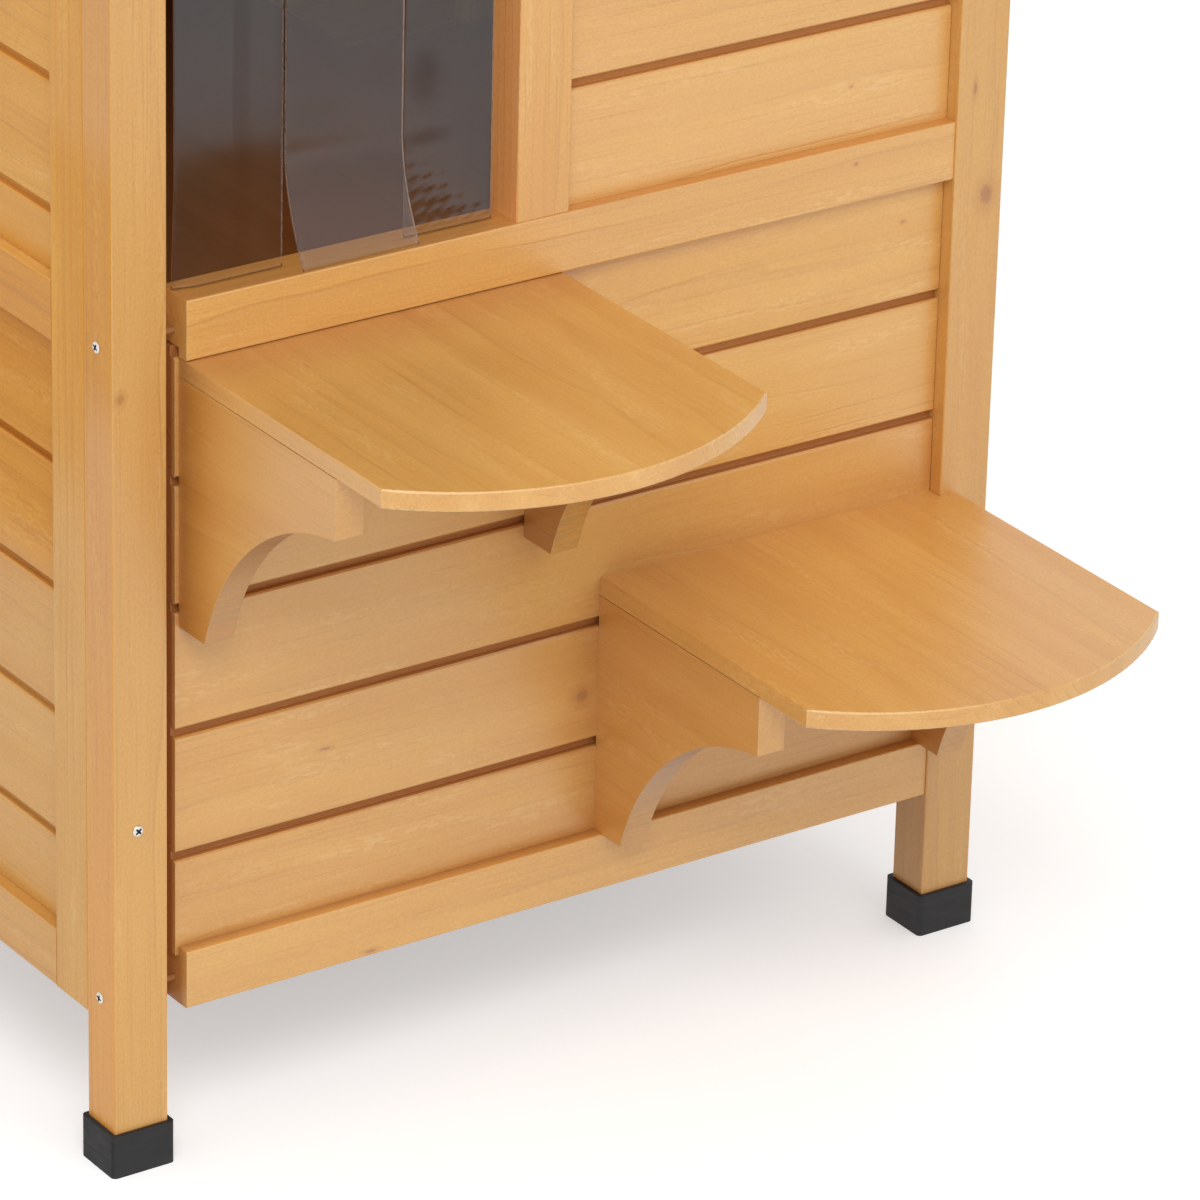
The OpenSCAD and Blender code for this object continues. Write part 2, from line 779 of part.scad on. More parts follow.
module rail_screws() {
    color("silver") place() {
        for (z = front_screw_zs()) {
            translate([0, screw_line, z]) rotate([0, -90, 0]) rail_screw();
            to_right() translate([0, screw_line, z]) rotate([0, -90, 0]) rail_screw();
        }
        for (z = rear_screw_zs()) to_rear() {
            translate([0, screw_line, z]) rotate([0, -90, 0]) rail_screw();
            to_right() translate([0, screw_line, z]) rotate([0, -90, 0]) rail_screw();
        }
    }
}

module stile_screws() {
    color("silver") place() for (z = stile_screw_zs) {
        translate([screw_line, 0, z]) rotate([90, 0, 0]) stile_screw();
        to_right() translate([screw_line, 0, z]) rotate([90, 0, 0]) stile_screw();
        to_rear() translate([screw_line, 0, z]) rotate([90, 0, 0]) stile_screw();
        to_rear() to_right() translate([screw_line, 0, z]) rotate([90, 0, 0]) stile_screw();
    }
}

module bracket_screws() {
    color("silver") place() for (p = bracket_screw_places())
        translate([p[0], board_back_y, p[2]]) rotate([-90, 0, 0])
            screw(bracket_screw_l, bracket_screw_d, bracket_head_d, screw_head_h);
}

// Strip curtain: a rod between the left leg and the post, and three strips with sleeves
module curtain_rod() {
    color("gainsboro") place() translate([rod_x0, rod_y, rod_z]) rotate([0, 90, 0])
        cylinder(d = rod_d, h = rod_x1 - rod_x0);
}

module sleeve_outline() {
    translate([rod_y, rod_z]) circle(sleeve_r);
}

module rod_hole() {
    translate([rod_y, rod_z]) circle(rod_d / 2 + pin_fit);
}

module flat_strip(x, w) {
    color("slategray", 0.6) place() side_outline(x, x + w) difference() {
        union() {
            sleeve_outline();
            translate([rod_y - strip_t / 2, strip_foot_z]) square([strip_t, rod_z - strip_foot_z]);
        }
        rod_hole();
    }
}

module left_strip() { flat_strip(left_strip_x, left_strip_w); }
module right_strip() { flat_strip(right_strip_x, right_strip_w); }

// The middle strip's foot keeps a bend outwards
module middle_strip() {
    z_bend = sill_z + bend_h;
    arc_y = rod_y - bend_r;
    fall = bend_r * sin(bend_angle);
    tail = (bend_h - fall - bend_foot_h) / cos(bend_angle);
    joint_lap = strip_t / 10;
    color("slategray", 0.6) place() side_outline(middle_strip_x, middle_strip_x + middle_strip_w)
        difference() {
            union() {
                sleeve_outline();
                translate([rod_y - strip_t / 2, z_bend - joint_lap]) square([strip_t, rod_z - z_bend]);
                intersection() {
                    translate([arc_y, z_bend]) difference() {
                        circle(bend_r + strip_t / 2, $fn = 180);
                        circle(bend_r - strip_t / 2, $fn = 180);
                    }
                    polygon([
                        [arc_y, z_bend], [arc_y + 2 * bend_r, z_bend],
                        [arc_y + 2 * bend_r * cos(bend_angle), z_bend - 2 * bend_r * sin(bend_angle)]
                    ]);
                }
                translate([arc_y + bend_r * cos(bend_angle), z_bend - fall]) rotate(-bend_angle)
                    translate([-strip_t / 2, -tail]) square([strip_t, tail + joint_lap]);
            }
            rod_hole();
        }
}

// Roof: deck, felt, fascias and battens
module deck_outline(top, height) {
    polygon([
        [deck_y0, deck_z(deck_y0) + top - height], [deck_y1, deck_z(deck_y1) + top - height],
        [deck_y1, deck_z(deck_y1) + top], [deck_y0, deck_z(deck_y0) + top]
    ]);
}

module roof_deck() {
    color("burlywood") place() difference() {
        side_outline(deck_x0, deck_x1) deck_outline(deck_t, deck_t);
        roof_hinge_screw_holes();
    }
}

module roof_felt() {
    y0 = deck_y0 - felt_t;
    y1 = deck_y1 + felt_t;
    color("darkslategray") place() difference() {
        side_outline(deck_x0 - felt_t, deck_x1 + felt_t) polygon([
            [y0, deck_z(y0) + deck_t - felt_lip], [deck_y1, deck_z(deck_y1) + deck_t - felt_lip],
            [deck_y1, deck_z(deck_y1)], [y1, deck_z(y1)],
            [y1, deck_z(y1) + deck_t + felt_t], [y0, deck_z(y0) + deck_t + felt_t]
        ]);
        side_outline(deck_x0, deck_x1) deck_outline(deck_t, deck_t + 2 * felt_lip);
    }
}

module roof_fascias() {
    color("burlywood") place() {
        side_outline(deck_x0, deck_x1) polygon([
            [deck_y0, deck_z(deck_y0) - fascia_h], [deck_y0 + fascia_t, deck_z(deck_y0 + fascia_t) - fascia_h],
            [deck_y0 + fascia_t, deck_z(deck_y0 + fascia_t)], [deck_y0, deck_z(deck_y0)]
        ]);
        for (x = [deck_x0, deck_x1 - fascia_t]) side_outline(x, x + fascia_t) polygon([
            [deck_y0 + fascia_t + end_fit, deck_z(deck_y0 + fascia_t + end_fit) - fascia_h],
            [deck_y1, deck_z(deck_y1) - fascia_h], [deck_y1, deck_z(deck_y1)],
            [deck_y0 + fascia_t + end_fit, deck_z(deck_y0 + fascia_t + end_fit)]
        ]);
    }
}

module roof_battens() {
    color("tan") place() for (y = [cabin_d / 3, cabin_d * 2 / 3])
        side_outline(rail_t + cleat_w, cabin_w - rail_t - cleat_w) polygon([
            [y - batten_w / 2, deck_z(y - batten_w / 2) - batten_h],
            [y + batten_w / 2, deck_z(y + batten_w / 2) - batten_h],
            [y + batten_w / 2, deck_z(y + batten_w / 2)], [y - batten_w / 2, deck_z(y - batten_w / 2)]
        ]);
}

// Roof hinges: each wall leaf has two outer knuckles and each roof leaf the middle one
module hinge_knuckle(x, l) {
    translate([x, 0, 0]) rotate([0, 90, 0]) cylinder(r = knuckle_r, h = l);
}

module pin_bore(l) {
    translate([-l, 0, 0]) rotate([0, 90, 0]) cylinder(r = hinge_pin_d / 2 + pin_fit, h = 2 * l);
}

// Frame of a hinge: the origin is on its pin, X along the pin
module at_hinge(x) {
    translate([x, hinge_axis_y, hinge_z]) children();
}

module hinge_wall_leaves() {
    color("silver") place() for (x = hinge_xs) at_hinge(x) difference() {
        union() {
            translate([-hinge_l / 2, -knuckle_r, -leaf_w]) cube([hinge_l, leaf_t, leaf_w - hinge_lift]);
            for (s = [0, 1]) mirror([s, 0, 0]) {
                hinge_knuckle(knuckle_l / 2, knuckle_l);
                translate([knuckle_l / 2, -knuckle_r, -leaf_w]) cube([knuckle_l, leaf_t, leaf_w]);
            }
        }
        pin_bore(hinge_l);
        for (sx = [-1, 0, 1]) translate([sx * hinge_l / 3, -knuckle_r - 1, -leaf_w * 0.62]) rotate([-90, 0, 0])
            cylinder(r = hinge_screw_d / 2 + screw_fit, h = leaf_t + 2);
    }
}

module hinge_roof_leaves() {
    color("silver") place() for (x = hinge_xs) at_hinge(x) rotate([-roof_pitch, 0, 0]) difference() {
        union() {
            translate([-hinge_l / 2, knuckle_r, hinge_lift - leaf_t])
                cube([hinge_l, leaf_w - knuckle_r, leaf_t]);
            hinge_knuckle(-knuckle_l / 2 + knuckle_gap, knuckle_l - 2 * knuckle_gap);
            translate([-knuckle_l / 2 + knuckle_gap, 0, hinge_lift - leaf_t])
                cube([knuckle_l - 2 * knuckle_gap, knuckle_r + 1, leaf_t]);
        }
        pin_bore(hinge_l);
        for (sx = [-1, 0, 1]) translate([sx * hinge_l / 3, leaf_w * 0.62, 0])
            cylinder(r = hinge_screw_d / 2 + screw_fit, h = knuckle_r + 1);
    }
}

module hinge_pins() {
    color("silver") place() for (x = hinge_xs) at_hinge(x) {
        translate([-hinge_l / 2 - 1.5, 0, 0]) rotate([0, 90, 0]) cylinder(d = hinge_pin_d, h = hinge_l + 3);
        for (s = [0, 1]) mirror([s, 0, 0]) translate([hinge_l / 2 + 0.2, 0, 0]) rotate([0, 90, 0])
            cylinder(r = hinge_pin_d / 2 + 1, h = 1.5);
    }
}

// Places of the wall leaves' screws, on the rear top rail's face
function wall_hinge_screws() = [
    for (x = hinge_xs, sx = [-1, 0, 1])
        [x + sx * hinge_l / 3, hinge_axis_y - knuckle_r, hinge_z - leaf_w * 0.62]
];

module hinge_screw() {
    translate([0, 0, -hinge_screw_l]) cylinder(d = hinge_screw_d, h = hinge_screw_l);
    difference() {
        cylinder(d = hinge_head_d, h = 1);
        for (a = [0, 90]) rotate([0, 0, a])
            translate([-hinge_head_d * 0.3, -0.4, 0.4]) cube([hinge_head_d * 0.6, 0.8, 1]);
    }
}

module hinge_wall_screws() {
    color("silver") place() for (p = wall_hinge_screws())
        translate([p[0], p[1] + leaf_t, p[2]]) rotate([-90, 0, 0]) hinge_screw();
}

// Moves to each roof leaf screw, with -Z into the deck
module at_roof_hinge_screws() {
    for (x = hinge_xs) at_hinge(x) rotate([-roof_pitch, 0, 0]) for (sx = [-1, 0, 1])
        translate([sx * hinge_l / 3, leaf_w * 0.62, hinge_lift - leaf_t]) rotate([180, 0, 0]) children();
}

module hinge_roof_screws() {
    color("silver") place() at_roof_hinge_screws() hinge_screw();
}

module roof_hinge_screw_holes() {
    at_roof_hinge_screws() translate([0, 0, -hinge_screw_l - 0.2])
        cylinder(r = hinge_screw_d / 2 + screw_fit, h = hinge_screw_l + 1);
}

leg_front_left();
leg_front_right();
leg_rear_left();
leg_rear_right();
foot_cap_front_left();
foot_cap_front_right();
foot_cap_rear_left();
foot_cap_rear_right();
front_bottom_rail();
front_mid_rail();
front_top_rail();
curtain_post();
gap_filler();
front_lower_boards();
front_upper_boards();
left_front_stile();
left_rear_stile();
left_bottom_rail();
left_mid_rail();
left_top_rail();
left_lower_boards();
left_upper_boards();
right_front_stile();
right_rear_stile();
right_bottom_rail();
right_mid_rail();
right_top_rail();
right_lower_boards();
right_upper_boards();
rear_bottom_rail();
rear_mid_rail();
rear_top_rail();
rear_lower_boards();
rear_upper_boards();
floor_cleats();
lower_floor();
upper_floor();
upper_step_board();
lower_step_board();
upper_step_left_bracket();
upper_step_right_bracket();
lower_step_left_bracket();
lower_step_right_bracket();
rail_screws();
stile_screws();
bracket_screws();
curtain_rod();
left_strip();
middle_strip();
right_strip();
roof_deck();
roof_felt();
roof_fascias();
roof_battens();
hinge_wall_leaves();
hinge_roof_leaves();
hinge_pins();
hinge_wall_screws();
hinge_roof_screws();
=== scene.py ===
"""Outdoor cat house: the finish of every timber, board, strip, cap, screw and roof piece, and a studio."""

import math

import bmesh
import bpy
import numpy as np
from mathutils import Matrix, Vector


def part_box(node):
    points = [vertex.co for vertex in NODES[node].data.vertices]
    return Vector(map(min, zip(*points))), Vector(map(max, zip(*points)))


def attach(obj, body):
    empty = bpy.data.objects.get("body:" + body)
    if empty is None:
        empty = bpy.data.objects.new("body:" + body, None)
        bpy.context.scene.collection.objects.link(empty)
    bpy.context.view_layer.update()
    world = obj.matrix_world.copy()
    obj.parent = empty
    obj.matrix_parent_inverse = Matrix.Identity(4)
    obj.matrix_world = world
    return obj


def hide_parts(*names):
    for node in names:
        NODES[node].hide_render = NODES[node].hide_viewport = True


bl_info = {
    "name": "Outdoor Cat House",
    "version": (1, 0, 0),
    "blender": (4, 5, 0),
    "location": "View3D > Sidebar > Cat House",
    "description": "Finishes a two-storey timber cat house around its fixed solids",
    "category": "Object",
}

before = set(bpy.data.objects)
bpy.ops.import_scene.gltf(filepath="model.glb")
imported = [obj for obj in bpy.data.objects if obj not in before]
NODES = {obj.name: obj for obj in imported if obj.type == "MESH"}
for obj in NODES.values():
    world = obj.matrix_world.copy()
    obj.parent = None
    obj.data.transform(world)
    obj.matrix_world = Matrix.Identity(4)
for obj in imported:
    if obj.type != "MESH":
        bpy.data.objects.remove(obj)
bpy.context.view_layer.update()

# The front left leg gives the cabin's corner: every length in millimetres below starts there.
LEG_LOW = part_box("leg_front_left")[0]
CORNER = Vector((LEG_LOW.x, LEG_LOW.y, 0.0))
UNIT = {"X": Vector((1.0, 0.0, 0.0)), "Y": Vector((0.0, 1.0, 0.0)), "Z": Vector((0.0, 0.0, 1.0))}
LEFT, UP, DOWN = -UNIT["X"], UNIT["Z"], -UNIT["Z"]


def at_cabin(x, y, z):
    """A point given in millimetres from the cabin's corner, in metres in the frame."""
    return CORNER + Vector((x, y, z)) / 1000.0


def middle(node):
    low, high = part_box(node)
    return (low + high) / 2


def rgba(colour):
    return (colour[0], colour[1], colour[2], 1.0)


# Settings


def colour_prop(name, description, default):
    return bpy.props.FloatVectorProperty(
        name=name, description=description, subtype="COLOR", size=3, default=default, min=0, max=1)


def number_prop(name, description, default, low, high, **kind):
    return bpy.props.FloatProperty(
        name=name, description=description, default=default, min=low, max=high, **kind)


def share_prop(name, description, default):
    return number_prop(name, description, default, 0.0, 1.0, subtype="FACTOR")


def length_prop(name, description, default, low, high):
    return number_prop(name, description, default, low, high, unit="LENGTH")


def power_prop(name, description, default):
    return number_prop(name, description, default, 0.0, 1000.0, unit="POWER")


def angle_prop(name, description, degrees):
    return bpy.props.FloatProperty(
        name=name, description=description, default=math.radians(degrees), subtype="ANGLE")


class CATHOUSE_PG_wood(bpy.types.PropertyGroup):
    """Colours and scale of the oiled pine"""

    pale: colour_prop("Pale wood", "Colour of the lightest streaks", (0.755, 0.425, 0.112))
    honey: colour_prop("Honey wood", "Main colour of the oiled pine", (0.670, 0.335, 0.072))
    latewood: colour_prop("Growth rings", "Colour of the darker growth rings", (0.44, 0.165, 0.028))
    knot: colour_prop("Knots", "Colour of the knots", (0.30, 0.085, 0.018))
    fleck: colour_prop("Flecks", "Colour of the short shining flecks", (0.93, 0.66, 0.30))
    # The colour labelled Stain is painted shade, in the grooves and on the boards' inner faces.
    painted_shade: colour_prop("Stain", "Stain gathered in the grooves, laid over the wood", (0.64, 0.38, 0.02))
    # The colour labelled Soaked oil is painted shade, on the bottom rail's ledge, at the back of the steps by
    # the wall and on the legs above the foot caps.
    nook_shade: colour_prop("Soaked oil", "Soaked-in oil, laid over ledges and the back of the steps",
                      (0.44, 0.20, 0.06))
    # The floor panels' dark colour is painted shade inside the cabin.
    inside: colour_prop("Floor panels", "Colour of the darker floor panels", (0.168, 0.055, 0.014))
    ring_spacing: length_prop("Ring spacing", "Distance from one growth ring to the next",
                              0.0075, 0.001, 0.02)
    edge_radius: length_prop("Edge softness", "Radius of the timber's softened edges", 0.0009, 0.0, 0.004)
    roughness: share_prop("Roughness", "Roughness of the oiled surface", 0.42)
    lamella: length_prop("Lamella width", "Width of the glued strips in a step board", 0.054, 0.02, 0.12)


class CATHOUSE_PG_curtain(bpy.types.PropertyGroup):
    """The hanging strips"""

    tint: colour_prop("Tint", "Colour of the smoky strips", (0.020, 0.018, 0.017))
    opacity: share_prop("Opacity", "Opacity of each face of a strip", 0.132)
    roughness: share_prop("Roughness", "Roughness of the strips' shine", 0.13)
    # The cut edge colour is a painted highlight, and the foot edge colour is painted shade.
    edge: colour_prop("Cut edge", "Colour of the strips' cut edges", (0.62, 0.52, 0.45))
    foot: colour_prop("Foot edge", "Colour of the strips' shaded lower edges", (0.10, 0.06, 0.04))
    thickness: length_prop("Thickness", "Thickness of a strip", 0.0018, 0.001, 0.003)
    ripple: length_prop("Ripple", "Depth of the ripples in the right strip", 0.00025, 0.0, 0.002)


class CATHOUSE_PG_fittings(bpy.types.PropertyGroup):
    """Foot caps, screws, hinges, rod and roofing felt"""

    rubber: colour_prop("Rubber", "Colour of the foot caps", (0.0275, 0.0278, 0.0285))
    zinc: colour_prop("Zinc", "Colour of the plated screws and hinges", (0.62, 0.61, 0.58))
    felt: colour_prop("Felt", "Colour of the mineral roofing felt", (0.055, 0.058, 0.060))
    granule: length_prop("Granule size", "Size of the felt's mineral granules", 0.0014, 0.0004, 0.004)


class CATHOUSE_PG_stage(bpy.types.PropertyGroup):
    """Camera, floor and light"""

    camera_place: bpy.props.FloatVectorProperty(
        name="Camera place", description="Camera, in millimetres from the cabin's front left corner", size=3,
        default=(-2062.9, -3481.6, 2286.3))
    turn: angle_prop("Turn", "Camera's turn to the right of straight ahead", 34.766)
    dip: angle_prop("Dip", "Camera's downward tilt", 25.023)
    roll: angle_prop("Roll", "Camera's roll", 1.465)
    focal_px: number_prop("Focal length", "Focal length in pixels of a 1200 pixel wide picture",
                          7473.4, 500.0, 50000.0)
    floor: colour_prop("Floor", "Colour of the floor", (0.78, 0.78, 0.78))
    lift: share_prop("Floor lift", "Brightness added to the floor as the camera sees it", 0.45)
    sky: number_prop("Sky", "Strength of the even light from all round", 0.68, 0.0, 2.0)
    key_power: power_prop("Key light", "Power of the large soft light, high at the front left", 49.0)
    fill_power: power_prop("Fill light", "Power of the weaker light, in front", 14.0)


# Node helpers and shader groups


class Wiring:
    """Adds nodes to one node tree and wires them with short calls."""

    def __init__(self, tree):
        self.tree = tree

    def node(self, kind, inputs=None, **settings):
        made = self.tree.nodes.new(kind)
        for key, value in settings.items():
            setattr(made, key, value)
        for key, value in (inputs or {}).items():
            self.feed(value, made.inputs[key])
        return made

    def feed(self, value, socket):
        if isinstance(value, bpy.types.NodeSocket):
            self.tree.links.new(value, socket)
        else:
            socket.default_value = value

    def shader(self, kind, inputs=None, **settings):
        """Outputs of a new shader node."""
        return self.node(f"ShaderNode{kind}", inputs, **settings).outputs

    def place(self, group, inputs):
        """Outputs of a shader group placed in this tree with its own values."""
        return self.shader("Group", inputs, node_tree=group())

    def math(self, operation, *values, clamp=False):
        made = self.node("ShaderNodeMath", operation=operation, use_clamp=clamp)
        for value, socket in zip(values, made.inputs):
            self.feed(value, socket)
        return made.outputs[0]

    def add(self, a, b, clamp=False):
        return self.math("ADD", a, b, clamp=clamp)

    def sub(self, a, b):
        return self.math("SUBTRACT", a, b)

    def mul(self, a, b):
        return self.math("MULTIPLY", a, b)

    def mul_add(self, a, b, c, clamp=False):
        return self.math("MULTIPLY_ADD", a, b, c, clamp=clamp)

    def vector(self, operation, *values):
        made = self.node("ShaderNodeVectorMath", operation=operation)
        for value, socket in zip(values, made.inputs):
            self.feed(value, socket)
        return made.outputs["Value" if operation in ("DOT_PRODUCT", "LENGTH") else "Vector"]

    def combine(self, x, y, z):
        return self.shader("CombineXYZ", {"X": x, "Y": y, "Z": z})[0]

    def split(self, vector):
        return self.shader("SeparateXYZ", {"Vector": vector})

    def noise(self, vector, scale, detail, rough, distortion=0.0, output="Fac"):
        """Noise with one scale, or with a scale for each direction."""
        if isinstance(scale, tuple):
            vector, scale = self.vector("MULTIPLY", vector, scale), 1.0
        return self.shader("TexNoise", {
            "Vector": vector, "Scale": scale, "Detail": detail, "Roughness": rough,
            "Distortion": distortion})[output]

    def ramp(self, value, low, high, out_low=0.0, out_high=1.0, smooth=True):
        return self.shader("MapRange", {
            "Value": value, "From Min": low, "From Max": high, "To Min": out_low, "To Max": out_high},
            interpolation_type="SMOOTHSTEP" if smooth else "LINEAR")["Result"]

    def mix(self, factor, a, b, blend="MIX"):
        return self.shader("MixRGB", {"Fac": factor, "Color1": a, "Color2": b}, blend_type=blend)["Color"]


# Samples of a number, a vector and a colour, from which a group's sockets get their kind.
NUMBER, XYZ, RGB = 0.0, (0.0, 0.0, 0.0), (0.0, 0.0, 0.0, 1.0)
SOCKETS = {1: "NodeSocketFloat", 3: "NodeSocketVector", 4: "NodeSocketColor"}


def shader_group(name, inputs, outputs):
    """Decorator: builds the group once, with a function that wires its inputs and returns its outputs."""

    def wrap(fill):
        def group():
            tree = bpy.data.node_groups.get(name)
            if tree:
                return tree
            tree = bpy.data.node_groups.new(name, "ShaderNodeTree")
            for label, value in inputs.items():
                socket = tree.interface.new_socket(label, in_out="INPUT", socket_type=SOCKETS[np.size(value)])
                socket.default_value = value
            for label, value in outputs.items():
                tree.interface.new_socket(label, in_out="OUTPUT", socket_type=SOCKETS[np.size(value)])
            wires = Wiring(tree)
            results = fill(wires, wires.node("NodeGroupInput").outputs)
            for value, socket in zip(results, wires.node("NodeGroupOutput").inputs):
                wires.feed(value, socket)
            return tree

        group.__doc__ = fill.__doc__
        return group

    return wrap


# Scale of the pine's patterns, per metre along the grain and across it.
PATTERN = {"sway": (1.6, 4.0, 4.0), "broad": (4.5, 30.0, 30.0), "fibre": (8.0, 820.0, 820.0),
           "mottle": (430.0, 600.0, 600.0), "patch": (9.0, 62.0, 62.0), "dash": (120.0, 480.0, 480.0),
           "comb": (300.0, 95.0, 95.0), "knots": (5.0, 14.0, 14.0)}


@shader_group("Pine grain", {
    "Vector": XYZ, "Seed": NUMBER, "Pale": RGB, "Honey": RGB, "Latewood": RGB, "Knot": RGB, "Fleck": RGB,
    "Ring Spacing": 0.0075, "Ring Contrast": 0.13, "Fleck Share": 0.45, "Knot Share": 0.015,
}, {"Color": RGB, "Height": NUMBER, "Sheen Mask": NUMBER})
def pine_group(wires, given):
    """Growth rings, fibres, flecks and knots of a piece whose grain runs along X, centred on the piece."""
    seed = given["Seed"]
    x, y, z = wires.split(given["Vector"])
    moved = wires.combine(wires.add(x, wires.mul(seed, 7.31)), y, wires.mul_add(seed, 1.7, z))

    # The tree's heart lies beside and behind the piece, at a place that changes with the seed.
    dice = wires.split(wires.shader("TexWhiteNoise", {"W": seed}, noise_dimensions="1D")["Color"])
    heart_y = wires.mul_add(dice[0], 0.12, -0.06)
    heart_z = wires.mul_add(dice[1], 0.07, 0.04)
    sway = wires.noise(moved, PATTERN["sway"], 2.0, 0.45)
    ry = wires.sub(wires.add(y, wires.mul_add(sway, 0.050, -0.025)), heart_y)
    rz = wires.sub(z, heart_z)
    radius = wires.math("SQRT", wires.add(wires.mul(ry, ry), wires.mul(rz, rz)))
    broad, warp, strength = wires.split(wires.noise(moved, PATTERN["broad"], 2.0, 0.5, output="Color"))
    saw = wires.math("FRACT", wires.add(wires.math("DIVIDE", radius, given["Ring Spacing"]),
                                        wires.mul_add(warp, 1.3, wires.mul(dice[2], 5.0))))
    bold = wires.ramp(strength, 0.40, 0.66)
    band = wires.mul(wires.ramp(saw, 0.30, 0.92), wires.ramp(saw, 0.93, 1.0, 1.0, 0.0))
    line = wires.mul(wires.ramp(saw, 0.84, 0.93), wires.ramp(saw, 0.94, 0.99, 1.0, 0.0))
    line = wires.mul(line, bold)

    # Fine fibres, a small mottle and short pale flecks that come in patches.
    fibre = wires.noise(moved, PATTERN["fibre"], 2.0, 0.65)
    mottle = wires.noise(moved, PATTERN["mottle"], 1.0, 0.6)
    patch = wires.noise(moved, PATTERN["patch"], 1.0, 0.5)
    dash = wires.noise(moved, PATTERN["dash"], 1.0, 0.5, 0.1)
    comb = wires.noise(moved, PATTERN["comb"], 1.0, 0.5, 0.1)
    least = wires.mul_add(given["Fleck Share"], -0.20, 0.66)
    strokes = wires.math("MAXIMUM", wires.ramp(dash, 0.46, 0.64), wires.ramp(comb, 0.54, 0.70, 0.0, 0.55))
    shimmer = wires.mul(wires.ramp(wires.sub(patch, least), -0.06, 0.20), strokes)

    # Knots: a few cells of a stretched Voronoi pattern hold one.
    cells = wires.shader("TexVoronoi", {"Vector": wires.vector("MULTIPLY", moved, PATTERN["knots"]),
                                        "Scale": 1.0, "Randomness": 0.85})
    chance = wires.split(cells["Color"])
    holds = wires.math("LESS_THAN", chance[0], given["Knot Share"])
    away = wires.math("DIVIDE", cells["Distance"], wires.mul_add(chance[1], 0.05, 0.03))
    core = wires.mul(holds, wires.ramp(wires.mul_add(mottle, 0.5, away), 0.75, 1.35, 1.0, 0.0))
    halo = wires.mul(holds, wires.ramp(away, 0.6, 3.0, 1.0, 0.0))

    rings = wires.mul(wires.mul(wires.mul_add(bold, 0.7, 0.3), band), given["Ring Contrast"])
    fine = wires.add(wires.ramp(fibre, 0.50, 0.80, 0.0, 0.30), wires.ramp(mottle, 0.15, 0.85, 0.0, 0.24))
    fine = wires.mul_add(line, 0.13, fine, clamp=True)
    colour = wires.mix(wires.ramp(broad, 0.30, 0.72, 0.05, 0.75), given["Honey"], given["Pale"])
    for amount, over in ((rings, "Latewood"), (fine, "Latewood"), (wires.mul(shimmer, 0.22), "Fleck"),
                         (wires.mul(halo, 0.30), "Latewood"), (wires.mul(core, 0.70), "Knot")):
        colour = wires.mix(amount, colour, given[over])
    height = wires.mul_add(mottle, -0.45, wires.add(wires.mul(line, -1.0), wires.mul(fibre, -0.55)))
    return colour, height, wires.add(wires.mul(shimmer, 0.6), wires.mul(band, 0.4))


@shader_group("Single knot", {
    "Vector": XYZ, "Place": XYZ, "Size": (0.004, 0.004, 0.004), "Depth": 0.6, "Knot": RGB, "Latewood": RGB,
    "Color": RGB,
}, {"Color": RGB})
def knot_group(wires, given):
    """One knot at a chosen place: a dark core with a warmer halo, both drawn out along the grain."""
    away = wires.vector("DIVIDE", wires.vector("SUBTRACT", given["Vector"], given["Place"]), given["Size"])
    ragged = wires.noise(given["Vector"], (420.0, 420.0, 420.0), 1.0, 0.5)
    distance = wires.mul_add(ragged, 0.7, wires.vector("LENGTH", away))
    halo = wires.mul(wires.ramp(distance, 0.9, 3.2, 1.0, 0.0), 0.38)
    core = wires.mul(wires.ramp(distance, 0.85, 1.5, 1.0, 0.0), given["Depth"])
    return (wires.mix(core, wires.mix(halo, given["Color"], given["Latewood"]), given["Knot"]),)


@shader_group("Soft edges", {"Radius": 0.0009}, {"Normal": XYZ, "Mask": NUMBER})
def edge_group(wires, given):
    """Softened edges: a rounded normal, and a mask along the edges."""
    rounded = wires.shader("Bevel", {"Radius": given["Radius"]}, samples=4)["Normal"]
    bend = wires.vector("DOT_PRODUCT", rounded, wires.shader("NewGeometry")["True Normal"])
    return rounded, wires.ramp(bend, 0.995, 0.86)


@shader_group("Directed tone", {
    "Vector": XYZ, "Direction": XYZ, "Start": NUMBER, "End": 1.0, "Amount": 1.0, "Tone": RGB, "Color": RGB,
}, {"Color": RGB, "Mask": NUMBER})
def tone_group(wires, given):
    """Lays a tone over a colour where a position or a normal reaches far enough along a direction."""
    reach = wires.vector("DOT_PRODUCT", given["Vector"], given["Direction"])
    mask = wires.ramp(reach, given["Start"], given["End"], 0.0, given["Amount"])
    return wires.mix(mask, given["Color"], given["Tone"], "MULTIPLY"), mask


@shader_group("Corner shade", {"Distance": 0.035, "Tone": RGB, "Color": RGB}, {"Color": RGB})
def corner_group(wires, given):
    """Oil and dust gathered where pieces meet, on a face close to another one."""
    near = wires.shader("AmbientOcclusion", {"Distance": given["Distance"]}, samples=6)["AO"]
    return (wires.mix(wires.ramp(near, 0.96, 0.50), given["Color"], given["Tone"], "MULTIPLY"),)


@shader_group("Cut growth layers", {"Vector": XYZ, "Mask": 1.0, "Latewood": RGB, "Color": RGB},
              {"Color": RGB})
def layers_group(wires, given):
    """Growth layers where a face is cut across the grain, as fine dark lines."""
    layers = wires.noise(given["Vector"], (30.0, 520.0, 520.0), 2.0, 0.6)
    amount = wires.mul(given["Mask"], wires.ramp(layers, 0.42, 0.60, 0.0, 0.70))
    return (wires.mix(amount, given["Color"], given["Latewood"]),)


